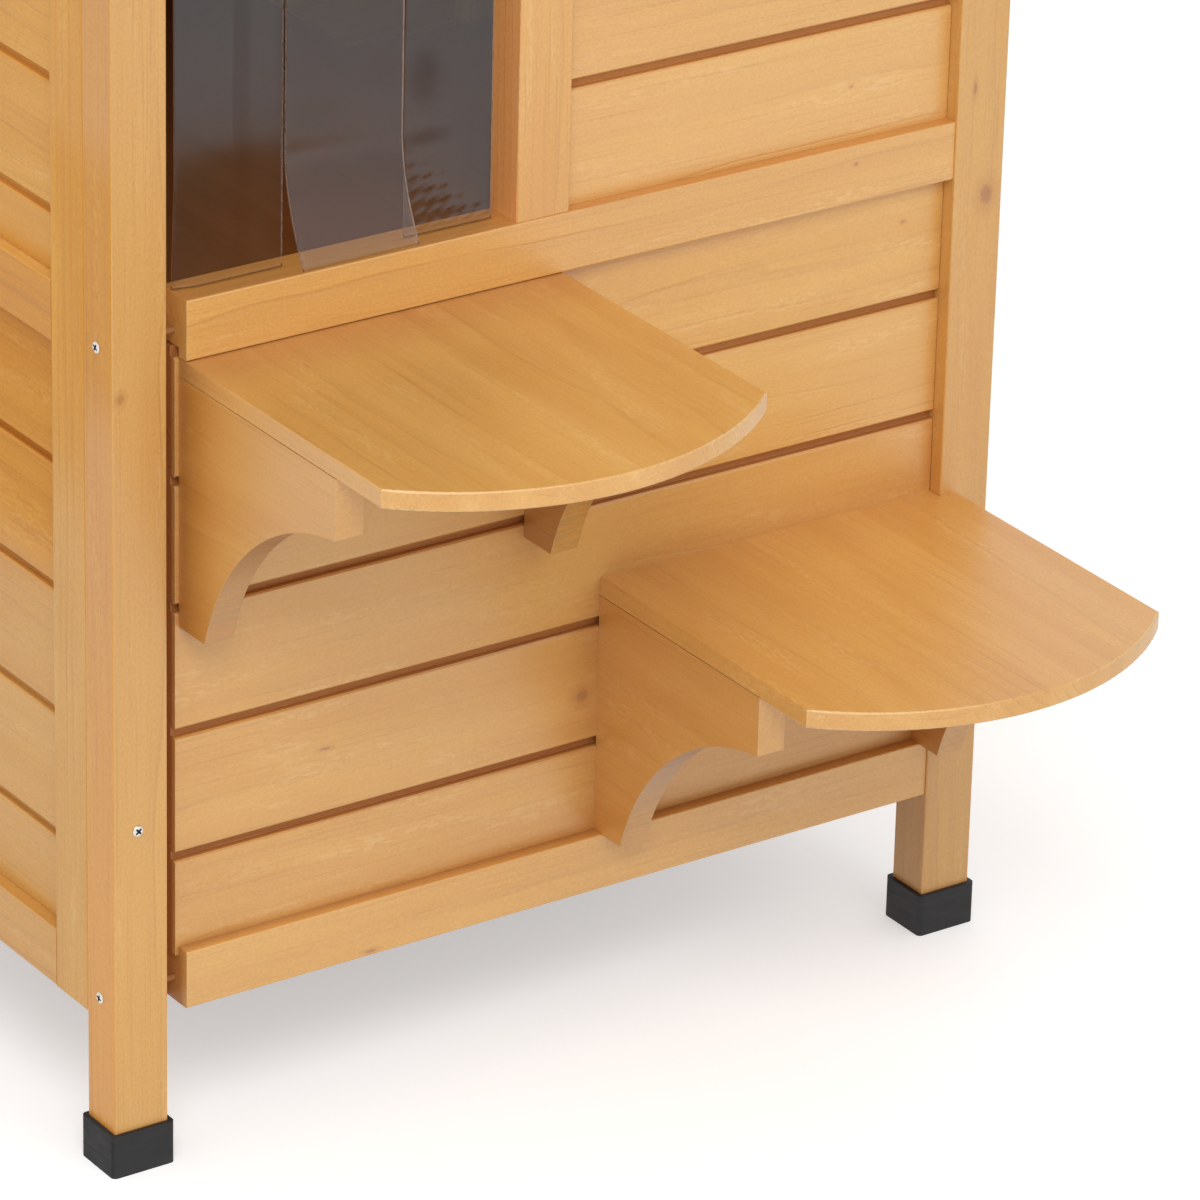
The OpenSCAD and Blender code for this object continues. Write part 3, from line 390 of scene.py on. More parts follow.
@shader_group("Board shades", {"Lane": NUMBER, "Spread": 0.09, "Latewood": RGB, "Pale": RGB, "Color": RGB},
              {"Color": RGB})
def lane_group(wires, given):
    """Each glued strip or stacked board a little darker or paler than the next."""
    spread = given["Spread"]
    dice = wires.shader("TexWhiteNoise", {"W": given["Lane"]}, noise_dimensions="1D")["Value"]
    darker = wires.mix(wires.ramp(dice, 0.0, 0.5, spread, 0.0, False), given["Color"], given["Latewood"])
    return (wires.mix(wires.ramp(dice, 0.5, 1.0, 0.0, wires.mul(spread, 2.0), False), darker, given["Pale"]),)


@shader_group("Plating", {"Vector": XYZ, "Color": RGB, "Roughness": 0.3, "Scale": 900.0},
              {"Color": RGB, "Roughness": NUMBER, "Height": NUMBER})
def mottle_group(wires, given):
    """Fine mottling of plated steel."""
    spots = wires.noise(given["Vector"], given["Scale"], 2.0, 0.6)
    duller = wires.ramp(spots, 0.35, 0.75, 0.0, 0.35)
    return (wires.mix(duller, given["Color"], (0.7, 0.7, 0.7, 1.0), "MULTIPLY"),
            wires.add(given["Roughness"], wires.ramp(spots, 0.3, 0.8, -0.05, 0.12)), spots)


@shader_group("PVC haze", {"Vector": XYZ, "Opacity": 0.13, "Roughness": 0.13},
              {"Opacity": NUMBER, "Roughness": NUMBER, "Wave": NUMBER})
def haze_group(wires, given):
    """The uneven haze of soft PVC, and its low waves."""
    haze = wires.noise(given["Vector"], (18.0, 18.0, 7.0), 2.0, 0.5)
    return (wires.mul(given["Opacity"], wires.ramp(haze, 0.3, 0.7, 0.97, 1.04)),
            wires.add(given["Roughness"], wires.ramp(haze, 0.3, 0.7, -0.03, 0.03)),
            wires.noise(given["Vector"], (26.0, 26.0, 10.0), 2.0, 0.5))


@shader_group("Dull spot", {
    "Vector": XYZ, "Place": XYZ, "Size": (0.02, 1.0, 0.01), "Depth": 0.3, "Wave": NUMBER, "Opacity": 0.13,
}, {"Opacity": NUMBER})
def blot_group(wires, given):
    """A soft area of a strip that shines less."""
    offset = wires.vector("DIVIDE", wires.vector("SUBTRACT", given["Vector"], given["Place"]), given["Size"])
    across, _, along = wires.split(offset)
    away = wires.vector("LENGTH", wires.combine(across, along, wires.mul(given["Wave"], 0.8)))
    rest = wires.sub(1.0, given["Depth"])
    return (wires.mul(given["Opacity"], wires.ramp(away, 0.35, 1.3, rest, 1.0)),)


@shader_group("PVC cut edges", {"Vector": XYZ, "Centre": XYZ, "Bright": RGB, "Dark": RGB, "Glow": 0.6},
              {"Color": RGB, "Alpha": NUMBER, "Roughness": NUMBER, "Height": NUMBER})
def cut_edge_group(wires, given):
    """A strip's cut edges: the right one catches the light, the foot is dark, the left one shows less.

    Centre is the middle of the strip's foot.
    """
    nicks = wires.noise(given["Vector"], (300.0, 300.0, 240.0), 2.0, 0.6)
    across, _, up = wires.split(wires.vector("SUBTRACT", given["Vector"], given["Centre"]))
    foot = wires.ramp(up, 0.0022, 0.0014)
    colour = wires.mix(wires.ramp(nicks, 0.35, 0.7, 0.0, 0.4), given["Bright"], (0.0, 0.0, 0.0, 1.0))
    side = wires.mul(given["Glow"], wires.ramp(across, -0.001, 0.001, 0.45, 1.0))
    return (wires.mix(foot, colour, given["Dark"]), wires.mul_add(foot, wires.sub(0.50, side), side),
            wires.ramp(nicks, 0.3, 0.7, 0.25, 0.45), nicks)


def new_material(name):
    """A material, the wiring of its empty tree and its object coordinates."""
    material = bpy.data.materials.new(name)
    material.use_nodes = True
    material.node_tree.nodes.clear()
    wires = Wiring(material.node_tree)
    return material, wires, wires.shader("TexCoord")["Object"]


def finish(wires, inputs, **bump):
    """Adds a material's shader with its inputs, and with a bump of this strength, distance and height."""
    if bump:
        inputs["Normal"] = wires.shader("Bump", {key.title(): value for key, value in bump.items()})[0]
    shader = wires.shader("BsdfPrincipled", inputs)
    wires.shader("OutputMaterial", {"Surface": shader[0]})


def lay_tone(wires, colour, vector, direction, start, end, tone, amount=1.0):
    """Lays a tone over a colour as the vector reaches from start to end. Gives the colour and the mask."""
    laid = wires.place(tone_group, {"Vector": vector, "Direction": direction, "Start": start, "End": end,
                                    "Amount": amount, "Tone": rgba(tone), "Color": colour})
    return laid["Color"], laid["Mask"]


def dress(node, material):
    """Gives a solid of the frame its finish."""
    data = NODES[node].data
    data.materials.clear()
    data.materials.append(material)


def add_object(name, data):
    made = bpy.data.objects.new(name, data)
    bpy.context.scene.collection.objects.link(made)
    return made


def stand_in(node, name, mesh, body):
    """Adds a piece that rides on a body and is shown in place of a solid of the frame."""
    piece = add_object(name, mesh)
    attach(piece, body)
    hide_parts(node)


# Oiled pine

# FINISH, FADE, LEFT_FACE, LEDGE, DRY and CORNER_SHADE were tuned until the render's levels met the photo's, so
# they copy some of its light as well as the wood. Of the left side it shows only a narrow strip, and from other
# angles the tones of that side change with height. Emptied, these tables leave the house evenly finished.

# How a piece's finish differs from the rest: lighter or darker, glossier or drier, and how much paler. The
# lighter, darker and paler tones are painted light and shade, some pieces lit more than others.
FINISH = {
    "front_upper_boards": (1.065, 1.12, 0.75), "front_lower_boards": (1.02, 1.00, 0.10),
    "front_bottom_rail": (1.06, 1.06, 0.45), "front_mid_rail": (1.035, 1.04, 0.50),
    "leg_front_left": (1.02, 0.80, 0.70), "leg_front_right": (0.95, 0.95, 0.0),
    "curtain_post": (1.04, 1.00, 0.20),
    "left_bottom_rail": (1.04, 0.50, 0.0), "left_lower_boards": (1.05, 0.45, 0.0),
    "left_front_stile": (1.06, 0.40, 0.0), "left_mid_rail": (1.10, 0.25, 0.0),
    "left_upper_boards": (1.13, 0.22, 0.0), "left_top_rail": (1.14, 0.12, 0.0),
    "left_rear_stile": (1.06, 0.40, 0.0),
    "upper_step_board": (1.085, 0.98, 0.0), "lower_step_board": (1.08, 0.95, 0.0),
    "lower_floor": (1.00, 0.15, 0.0), "upper_floor": (1.00, 0.15, 0.0),
}
# A tone of painted light and shade that grows along one direction: direction, where it starts and is full in
# millimetres, colour.
FADE = {
    "front_lower_boards": ("Z", 345.0, 420.0, (1.06, 1.12, 1.12)),
    "leg_front_left": ("Z", 120.0, 450.0, (0.91, 0.90, 0.95)),
    "upper_step_left_bracket": ("Y", -55.0, 11.0, (0.86, 0.77, 0.72)),
    "left_lower_boards": ("Z", 335.0, 395.0, (1.02, 0.85, 0.45)),
    "left_front_stile": ("Z", 370.0, 520.0, (1.05, 0.93, 0.45)),
    "left_upper_boards": ("Z", 300.0, 400.0, (1.03, 0.97, 0.80)),
    "left_mid_rail": ("Z", 300.0, 400.0, (0.93, 0.75, 0.36)),
    "left_top_rail": ("Z", 300.0, 400.0, (1.02, 0.90, 0.50)),
}
# Painted light and shade on the faces that look to the left, where it differs from the piece's other faces.
LEFT_FACE = {
    "leg_front_left": (1.05, 0.83, 0.22), "curtain_post": (1.34, 1.26, 1.80),
    "upper_step_left_bracket": (1.02, 0.96, 0.84), "upper_step_right_bracket": (0.70, 0.57, 0.50),
    "lower_step_right_bracket": (0.80, 0.66, 0.58), "lower_step_left_bracket": (1.0, 0.93, 0.90),
}
# Painted shade on the ledges, which look up, and painted light on the left mid rail's ledge.
LEDGE = {
    "front_lower_boards": (0.86, 0.70, 0.48), "front_upper_boards": (0.86, 0.70, 0.48),
    "front_mid_rail": (0.91, 0.77, 0.72), "front_bottom_rail": (0.92, 0.86, 0.80),
    "left_mid_rail": (1.13, 1.45, 3.00),
}
# A face counts as looking left or up between these shares of its normal.
FACING = (0.5, 0.9)
# The faces that look left shine less in a band, as if the oil were drier there: where the band starts, is
# full, fades and ends, in millimetres above the floor, and the share of the shine that is left in it.
DRY = {
    "leg_front_left": (480.0, 540.0, 650.0, 700.0, 0.40),
    "left_front_stile": (430.0, 490.0, 650.0, 700.0, 0.55),
    "left_lower_boards": (350.0, 410.0, 600.0, 660.0, 0.20),
}
# The brackets' hollows are cut across the grain and look down. Their darker tone is partly end grain that takes
# up more oil and partly painted shade, more painted shade where they look further down, and they show the
# growth layers as fine lines. Each tone comes with the normal's share where it starts and is full.
END_GRAIN = (0.10, 0.45, (0.86, 0.76, 0.44))
HOLLOW_ROOF = (0.45, 0.87, (0.44, 0.28, 0.13))
LAYER_LINES = (0.42, 0.22, 0.06)
# Painted shade on a wall close to the brackets, steps and rails that stand on it.
CORNER_SHADE = {"front_lower_boards": (0.87, 0.80, 0.82), "front_upper_boards": (0.93, 0.90, 0.90)}
# Strength of the painted highlight along the edges, in the colour of the flecks: the steps, the legs and the
# rest.
EDGE_HIGHLIGHT = {"step_board": 0.80, "leg": 0.50, "rest": 0.30}
# The oil's shine, before a piece's own gloss.
SHINE = {"IOR": 1.85, "Specular IOR Level": 0.50, "Coat Weight": 0.20, "Coat Roughness": 0.30}
# Single knots: place in millimetres, then length along the grain, height, and depth of colour.
KNOTS = {
    "front_lower_boards": (((157.8, 11, 249.9), 4.5, 1.1, 0.50), ((349.2, 11, 237.8), 5.0, 4.6, 0.45),
                           ((587.0, 11, 510.6), 2.0, 1.2, 0.40)),
    "front_upper_boards": (((542.1, 11, 610.7), 1.6, 1.1, 0.45),),
    "front_bottom_rail": (((187.1, 1.8, 105.2), 4.0, 1.2, 0.45),),
    "front_mid_rail": (((541.2, 1.8, 562.1), 1.6, 1.1, 0.45),),
    "leg_front_left": (((5.9, 0, 523.0), 3.2, 2.4, 0.32),),
    "leg_front_right": (((643.4, 0, 521.5), 7.2, 5.2, 0.55), ((631.1, 0, 595.6), 5.0, 1.4, 0.50)),
}
GRAIN_ORDER = {"X": (0, 2, 1), "Y": (1, 2, 0), "Z": (2, 0, 1)}


def grain_vector(wires, coords, axis, centre, lane):
    """Coordinates turned so that the grain runs along X, and the seed that a lane adds."""
    split = wires.split(coords)
    parts = []
    lane_seed = None
    for k in (1, 0, 2) if lane and lane[0] == "X" else GRAIN_ORDER[axis]:
        value = split[k]
        if lane and "XYZ"[k] == lane[0]:
            row = wires.math("DIVIDE", wires.sub(value, lane[1]), lane[2])
            lane_seed = wires.math("FLOOR", row)
            value = wires.mul(wires.sub(wires.math("FRACT", row), 0.5), lane[2])
        else:
            value = wires.sub(value, centre[k])
        parts.append(value)
    return wires.combine(*parts), lane_seed


def dry_shine(wires, coords, normal, start, full, fading, end, share):
    """Share of the shine that is left on a face that looks left, with heights in millimetres."""
    start, full, fading, end = (CORNER.z + value / 1000.0 for value in (start, full, fading, end))
    up = wires.vector("DOT_PRODUCT", coords, UP)
    band = wires.mul(wires.ramp(up, start, full), wires.ramp(up, fading, end, 1.0, 0.0))
    facing = wires.ramp(wires.vector("DOT_PRODUCT", normal, LEFT), *FACING)
    return wires.mul_add(wires.mul(band, facing), share - 1.0, 1.0)


def pine(context, name, axis, seed, lane=None, painted_shade=None, lane_spread=0.09, **grain):
    """Gives the piece with this name oiled pine, with its grain along the axis.

    lane is (direction, start, width) for pieces glued or stacked side by side. stain is (direction, start,
    end, colour, amount): how the stain grows along the direction. grain holds other inputs of the grain.
    """
    wood = context.scene.cat_house_wood
    shade, gloss, paler = FINISH.get(name, (1.0, 1.0, 0.0))
    material, wires, coords = new_material(f"Pine {name}")
    vector, lane_seed = grain_vector(wires, coords, axis, middle(name), lane)
    colours = {key: Vector(grain.pop(key, getattr(wood, key)))
               for key in ("pale", "honey", "latewood", "knot", "fleck")}
    # A piece's lighter, darker and paler tone from FINISH is painted light and shade.
    colours["honey"] = colours["honey"].lerp(colours["pale"], paler) * shade
    colours["pale"] = colours["pale"] * shade
    inputs = {key.title(): rgba(colour) for key, colour in colours.items()}
    inputs.update({key.replace("_", " ").title(): value for key, value in grain.items()})
    inputs["Vector"] = vector
    inputs["Seed"] = seed if lane_seed is None else wires.mul_add(lane_seed, 1.37, seed)
    inputs["Ring Spacing"] = wood.ring_spacing
    grown = wires.place(pine_group, inputs)
    colour = grown["Color"]
    latewood = rgba(wood.latewood)
    for place, length, height, depth in KNOTS.get(name, ()):
        size = [height / 1000.0] * 3
        size["XYZ".index(axis)] = length / 1000.0
        colour = wires.place(knot_group, {
            "Vector": coords, "Place": at_cabin(*place), "Size": size, "Depth": depth,
            "Knot": rgba(wood.knot), "Latewood": latewood, "Color": colour})["Color"]
    if lane_seed is not None:
        colour = wires.place(lane_group, {
            "Lane": wires.add(lane_seed, seed * 3.7), "Spread": lane_spread, "Latewood": latewood,
            "Pale": rgba(wood.pale), "Color": colour})["Color"]

    rough = wires.mul_add(grown["Sheen Mask"], -0.08, wood.roughness)
    # Painted shade in the grooves, at the back of the steps, on the bottom rail's ledge and above the foot
    # caps' rims, where the surface is also rougher.
    if painted_shade:
        colour, shade_mask = lay_tone(wires, colour, coords, *painted_shade)
        rough = wires.mul_add(shade_mask, 0.5, rough, clamp=True)
    # Painted light and shade that grows along one direction.
    if name in FADE:
        direction, start, end, tone = FADE[name]
        origin = CORNER["XYZ".index(direction)]
        colour, _ = lay_tone(wires, colour, coords, UNIT[direction], origin + start / 1000.0,
                             origin + end / 1000.0, tone)
    normal = wires.shader("NewGeometry")["True Normal"]
    # Painted light and shade on the faces that look left and on the ledges.
    for tones, direction in ((LEFT_FACE, LEFT), (LEDGE, UP)):
        if name in tones:
            colour, _ = lay_tone(wires, colour, normal, direction, *FACING, tones[name])
    # The brackets' hollows: darker end grain, painted shade and the growth layers.
    if name.endswith("_bracket"):
        colour, cut = lay_tone(wires, colour, normal, DOWN, *END_GRAIN)
        colour, _ = lay_tone(wires, colour, normal, DOWN, *HOLLOW_ROOF)
        colour = wires.place(layers_group, {"Vector": coords, "Mask": cut, "Latewood": rgba(LAYER_LINES),
                                            "Color": colour})["Color"]
    if name in CORNER_SHADE:
        colour = wires.place(corner_group, {"Tone": rgba(CORNER_SHADE[name]), "Color": colour})["Color"]
    edges = wires.place(edge_group, {"Radius": wood.edge_radius})
    # The edges get a painted highlight in the colour of the flecks.
    lightening = EDGE_HIGHLIGHT["step_board" if name.endswith("step_board") else "leg" if name.startswith("leg_") else "rest"]
    colour = wires.mix(wires.mul(edges["Mask"], lightening), colour, rgba(wood.fleck))

    shine = dict(SHINE)
    for key in ("Specular IOR Level", "Coat Weight"):
        shine[key] *= gloss
        if name in DRY:
            shine[key] = wires.mul(dry_shine(wires, coords, normal, *DRY[name]), shine[key])
    finish(wires, {"Base Color": colour, "Roughness": rough, **shine},
           strength=0.40, distance=0.0004, height=grown["Height"], normal=edges["Normal"])
    dress(name, material)


# Pieces


class CATHOUSE_OT_timber(bpy.types.Operator):
    """Finish legs, rails, stiles, post, cleats and filler in oiled pine"""

    bl_idname = "cathouse.timber"
    bl_label = "Frame timber"

    # Height of the painted shade above a foot cap's rim, and how deep on the ledge it starts and is full.
    RIM_SHADE = 0.0010
    LEDGE_SHADE = (0.0015, 0.0095)

    def grain_axis(self, name):
        """Direction of the grain, or None for what isn't frame timber."""
        if name.startswith("leg_") or name.endswith("_stile") or name in ("curtain_post", "gap_filler"):
            return "Z"
        if name.endswith("_rail"):
            return "X" if name.startswith(("front", "rear")) else "Y"
        return "Y" if name == "floor_cleats" else None

    def rim_and_ledge_shade(self, wood, name):
        """Dirt and stain gather above the foot caps' rims and on the bottom rail's ledge."""
        if name.startswith("leg_"):
            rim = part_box(f"foot_cap_{name[4:]}")[1].z
            return DOWN, -rim - self.RIM_SHADE, -rim, wood.nook_shade, 1.0
        if name == "front_bottom_rail":
            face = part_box(name)[0].y
            start, full = self.LEDGE_SHADE
            return UNIT["Y"], face + start, face + full, wood.nook_shade, 0.50
        return None

    def execute(self, context):
        seed = 1.0
        for axis, name in sorted((self.grain_axis(name), name) for name in NODES if self.grain_axis(name)):
            seed += 2.13
            pine(context, name, axis, seed, painted_shade=self.rim_and_ledge_shade(context.scene.cat_house_wood, name))
        return {"FINISHED"}


class CATHOUSE_OT_boards(bpy.types.Operator):
    """Finish the grooved boards, each board with its own grain"""

    bl_idname = "cathouse.boards"
    bl_label = "Wall boards"

    # Height of one board.
    PITCH = 0.0838
    # Height of each panel's lowest board, in millimetres.
    FIRST = {"front_lower_boards": 122.0, "front_upper_boards": 572.6, "rear_lower_boards": 122.0,
             "rear_upper_boards": 572.6, "left_lower_boards": 118.0, "left_upper_boards": 532.0,
             "right_lower_boards": 118.0, "right_upper_boards": 532.0}
    # Painted shade in the grooves and on the boards' inner faces: how deep behind the boards' face it starts
    # and is full, and how strong it is.
    GROOVE = (0.0022, 0.0050)
    STAINED, HARDLY_STAINED = 0.86, 0.05

    def groove_shade(self, wood, name):
        """Stain gathers in the grooves, behind the boards' visible face, but hardly on the left side."""
        low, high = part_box(name)
        direction, face = {"front": (UNIT["Y"], low.y), "rear": (-UNIT["Y"], -high.y),
                           "left": (UNIT["X"], low.x), "right": (LEFT, -high.x)}[name.split("_")[0]]
        amount = self.HARDLY_STAINED if name.startswith("left") else self.STAINED
        start, full = self.GROOVE
        return direction, face + start, face + full, wood.painted_shade, amount

    def execute(self, context):
        seed = 41.0
        for name, first in self.FIRST.items():
            seed += 5.3
            pine(context, name, "X" if name.startswith(("front", "rear")) else "Y", seed,
                 ("Z", first / 1000.0, self.PITCH), self.groove_shade(context.scene.cat_house_wood, name),
                 ring_contrast=0.08, fleck_share=0.60)
        return {"FINISHED"}


class CATHOUSE_OT_steps(bpy.types.Operator):
    """Finish the round-fronted step boards, glued from strips, and their brackets"""

    bl_idname = "cathouse.steps"
    bl_label = "Steps and brackets"

    # What is cut off the first glued strip, and how far from the back edge the painted shade starts and is
    # full.
    CUT_OFF = 0.018
    WALL_SHADE = (0.075, 0.005)

    def execute(self, context):
        wood = context.scene.cat_house_wood
        seed = 90.0
        start, full = self.WALL_SHADE
        # Painted shade at the back of each step, by the wall.
        for name, amount in (("upper_step_board", 0.42), ("lower_step_board", 0.12)):
            seed += 4.1
            low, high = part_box(name)
            pine(context, name, "Y", seed, ("X", low.x - self.CUT_OFF, wood.lamella),
                 (UNIT["Y"], high.y - start, high.y - full, wood.nook_shade, amount), 0.05, ring_contrast=0.10)
        for name in sorted(NODES):
            if name.endswith("_bracket"):
                seed += 3.3
                pine(context, name, "Y", seed, ring_contrast=0.12, fleck_share=0.3)
        return {"FINISHED"}


class CATHOUSE_OT_floors(bpy.types.Operator):
    """Finish the two floor panels"""

    bl_idname = "cathouse.floors"
    bl_label = "Floors"

    # Width of a panel's plank.
    PLANK = 0.092

    def execute(self, context):
        # The panels' dark colour is painted shade inside the cabin.
        inside = Vector(context.scene.cat_house_wood.inside)
        for seed, name in ((130.0, "lower_floor"), (137.0, "upper_floor")):
            pine(context, name, "Y", seed, ("X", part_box(name)[0].x, self.PLANK), lane_spread=0.0,
                 pale=inside * 1.2, honey=inside, latewood=inside * 0.6, fleck=inside * 1.15)
        return {"FINISHED"}


class CATHOUSE_OT_curtain(bpy.types.Operator):
    """Model the three hanging strips with their soft bends, and finish the rod"""

    bl_idname = "cathouse.curtain"
    bl_label = "Strip curtain"

    # Millimetres from the cabin's corner.
    ROD_Y = 17.0
    TOP = 951.0
    LOWEST = 576.0
    FOOT = {"left": 576.0, "middle": 579.4, "right": 576.2}
    # Outer and inner radius of the hem round the rod, in millimetres.
    SLEEVE = (4.6, 3.1)
    COLUMNS, ROWS, TURNS = 40, 190, 32
    # Soft areas that shine less: middle in x and z, half width and half height in mm, and how much less.
    BLOTS = {"middle": ((153.0, 672.0, 20.0, 9.0, 0.10), (200.0, 690.0, 12.0, 8.0, 0.08)),
             "right": ((229.0, 676.0, 15.0, 22.0, 0.34), (229.0, 638.0, 20.0, 5.5, 0.40))}
    # Upright bands of the left strip: from and to in mm, and how much more or less they shine.
    BANDS = ((92.4, 93.0, 0.30), (93.0, 105.2, -0.17), (122.2, 122.7, 0.25), (122.7, 128.4, -0.12))
    # How strong the painted highlight is in each strip's right edge.
    GLOW = {"left": 0.42, "middle": 0.95, "right": 0.60}
    # Share of a strip's opacity that is left out for shadows and bounced light, so more light gets inside than
    # the view through the strip shows.
    CLEARER = 0.96

    def strip_y(self, which, u, z):
        """Distance of a strip's middle surface behind the cabin's front, u across it and z up, in mm."""
        down = (self.TOP - z) / (self.TOP - self.LOWEST)
        if which == "left":
            curl = max(0.0, 1.0 - u * 5.0) * max(0.0, (down - 0.83) / 0.17)
            return self.ROD_Y + 0.35 * math.sin(2.2 * u + 5.0 * down) * down + 3.4 * curl
        if which == "middle":
            y = self.ROD_Y - 0.6 * (1.0 - down) * u
            start = 648.0 - 2.0 * u
            if z < start:
                bend = (start - z) / (start - self.FOOT[which])
                y -= (21.6 - 1.3 * u) * bend ** (1.75 + 0.15 * u)
            return y
        lean = math.exp(-((z - 664.0) / 34.0) ** 2) * max(0.0, 1.0 - 1.5 * u)
        return self.ROD_Y + 0.4 * math.sin(3.0 * down + u) + 1.5 * lean

    def ripples(self, wires, coords):
        """Slanted waves, stronger in rows."""
        slanted = wires.shader("Mapping", {"Vector": coords, "Rotation": (0.0, math.radians(-50), 0.0)})[0]
        waves = wires.shader("TexWave", {"Vector": slanted, "Scale": 44.0, "Distortion": 0.7, "Detail": 1.0,
                                         "Detail Scale": 1.5}, bands_direction="X")["Fac"]
        rows = wires.shader("TexWave", {"Vector": coords, "Scale": 36.0, "Distortion": 0.4},
                            bands_direction="Z")["Fac"]
        return wires.mul(waves, wires.add(rows, 0.35))

    def strip_material(self, context, which):
        curtain = context.scene.cat_house_curtain
        material, wires, coords = new_material(f"Smoky PVC {which}")
        x, _, z = wires.split(coords)
        above = wires.sub(z, CORNER.z)
        haze = wires.place(haze_group, {"Vector": coords, "Opacity": curtain.opacity,
                                        "Roughness": curtain.roughness})
        height = wires.mul(haze["Wave"], 0.20)
        opacity = haze["Opacity"]
        if which == "left":
            opacity = wires.mul(opacity, wires.ramp(above, 0.600, 0.715, 0.48, 1.0))
            for start, end, more in self.BANDS:
                x0, x1 = at_cabin(start, 0, 0).x, at_cabin(end, 0, 0).x
                band = wires.mul(wires.ramp(x, x0 - 0.0002, x0 + 0.0002),
                                 wires.ramp(x, x1 - 0.0002, x1 + 0.0002, 1.0, 0.0))
                opacity = wires.mul(opacity, wires.mul_add(band, more, 1.0))
        for blot_x, blot_z, wide, tall, depth in self.BLOTS.get(which, ()):
            opacity = wires.place(blot_group, {
                "Vector": coords, "Place": at_cabin(blot_x, 0, blot_z),
                "Size": (wide / 1000.0, 1.0, tall / 1000.0), "Depth": depth, "Wave": haze["Wave"],
                "Opacity": opacity})[0]
        if which == "right":
            reach = wires.ramp(above, 0.655, 0.638, 0.0, 1.6)
            height = wires.mul_add(self.ripples(wires, coords), reach, height)
        path = wires.shader("LightPath")
        lit = wires.math("MAXIMUM", path["Is Shadow Ray"], path["Is Diffuse Ray"])
        finish(wires, {"Base Color": rgba(curtain.tint), "IOR": 2.15, "Specular IOR Level": 1.0,
                       "Alpha": wires.mul(opacity, wires.mul_add(lit, -self.CLEARER, 1.0)),
                       "Roughness": haze["Roughness"]},
               strength=0.35, distance=curtain.ripple * 2.0, height=height)
        return material

    def edge_material(self, context, which, centre):
        """The strip's cut edges, where the light gathers."""
        curtain = context.scene.cat_house_curtain
        material, wires, coords = new_material(f"PVC cut edge {which}")
        cut = wires.place(cut_edge_group, {
            "Vector": coords, "Centre": centre, "Glow": self.GLOW[which], "Bright": rgba(curtain.edge),
            "Dark": rgba(curtain.foot)})
        finish(wires, {"Base Color": cut["Color"], "Roughness": cut["Roughness"], "Alpha": cut["Alpha"]},
               strength=0.4, distance=0.0002, height=cut["Height"])
        return material

    def add_sleeve(self, vertices, faces, x0, x1):
        """The strip's hem, a tube round the rod."""
        rod_low, rod_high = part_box("curtain_rod")
        centre_z = (rod_low.z + rod_high.z) * 500.0
        base = len(vertices)
        for x in (x0, x1):
            for radius in self.SLEEVE:
                for k in range(self.TURNS):
                    turn = 2 * math.pi * k / self.TURNS
                    vertices.append(at_cabin(x, self.ROD_Y + radius * math.sin(turn),
                                             centre_z + radius * math.cos(turn)))
        rings = [base + r * self.TURNS for r in range(4)]
        for k in range(self.TURNS):
            n = (k + 1) % self.TURNS
            for a, b in ((0, 2), (3, 1), (1, 0), (2, 3)):
                faces.append((rings[a] + k, rings[b] + k, rings[b] + n, rings[a] + n))

    def strip(self, context, which):
        low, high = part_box(f"{which}_strip")
        half = context.scene.cat_house_curtain.thickness * 500.0
        x0, x1 = ((corner.x - CORNER.x) * 1000.0 for corner in (low, high))
        foot = self.FOOT[which]
        front, back = [], []
        for row in range(self.ROWS + 1):
            z = foot + (self.TOP + 1.0 - foot) * row / self.ROWS
            for column in range(self.COLUMNS + 1):
                u = column / self.COLUMNS
                y = self.strip_y(which, u, z)
                slope = Vector((0.0, y - self.strip_y(which, u, z + 2.0), -2.0)).normalized()
                out = Vector((0.0, slope.z, -slope.y)) * half
                x = x0 + (x1 - x0) * u
                front.append(at_cabin(x, y + out.y, z + out.z))
                back.append(at_cabin(x, y - out.y, z - out.z))
        vertices = front + back
        count = len(front)
        wide = self.COLUMNS + 1
        faces = []
        for row in range(self.ROWS):
            for column in range(self.COLUMNS):
                a = row * wide + column
                faces.append((a, a + 1, a + wide + 1, a + wide))
                faces.append(tuple(count + k for k in (a, a + wide, a + wide + 1, a + 1)))
        rim = list(range(wide))
        rim += [row * wide + wide - 1 for row in range(1, self.ROWS + 1)]
        rim += [self.ROWS * wide + k for k in range(wide - 2, -1, -1)]
        rim += [row * wide for row in range(self.ROWS - 1, 0, -1)]
        first_edge = len(faces)
        faces += [(a, count + a, count + b, b) for a, b in zip(rim, rim[1:] + rim[:1])]
        edges = range(first_edge, len(faces))
        self.add_sleeve(vertices, faces, x0, x1)

        mesh = bpy.data.meshes.new(f"curtain_strip_{which}_sheet")
        mesh.from_pydata([tuple(v) for v in vertices], [], faces)
        build = bmesh.new()
        build.from_mesh(mesh)
        bmesh.ops.recalc_face_normals(build, faces=build.faces)
        build.to_mesh(mesh)
        build.free()
        mesh.validate()
        mesh.materials.append(self.strip_material(context, which))
        mesh.materials.append(self.edge_material(context, which, at_cabin((x0 + x1) / 2, 0, foot)))
        for k, face in enumerate(mesh.polygons):
            face.use_smooth = k not in edges
            face.material_index = int(k in edges)
        stand_in(f"{which}_strip", mesh.name, mesh, f"curtain_strip_{which}")

    def execute(self, context):
        for which in ("left", "middle", "right"):
            self.strip(context, which)
        dress("curtain_rod", zinc_material("Satin rod", (0.72, 0.72, 0.72), 0.28))
        return {"FINISHED"}


# Colours of a screw's shank, brown and not metallic, and of its recess, which is painted shade.
SHANK_BROWN, RECESS_SHADE = (0.42, 0.20, 0.07, 1.0), (0.035, 0.024, 0.016, 1.0)


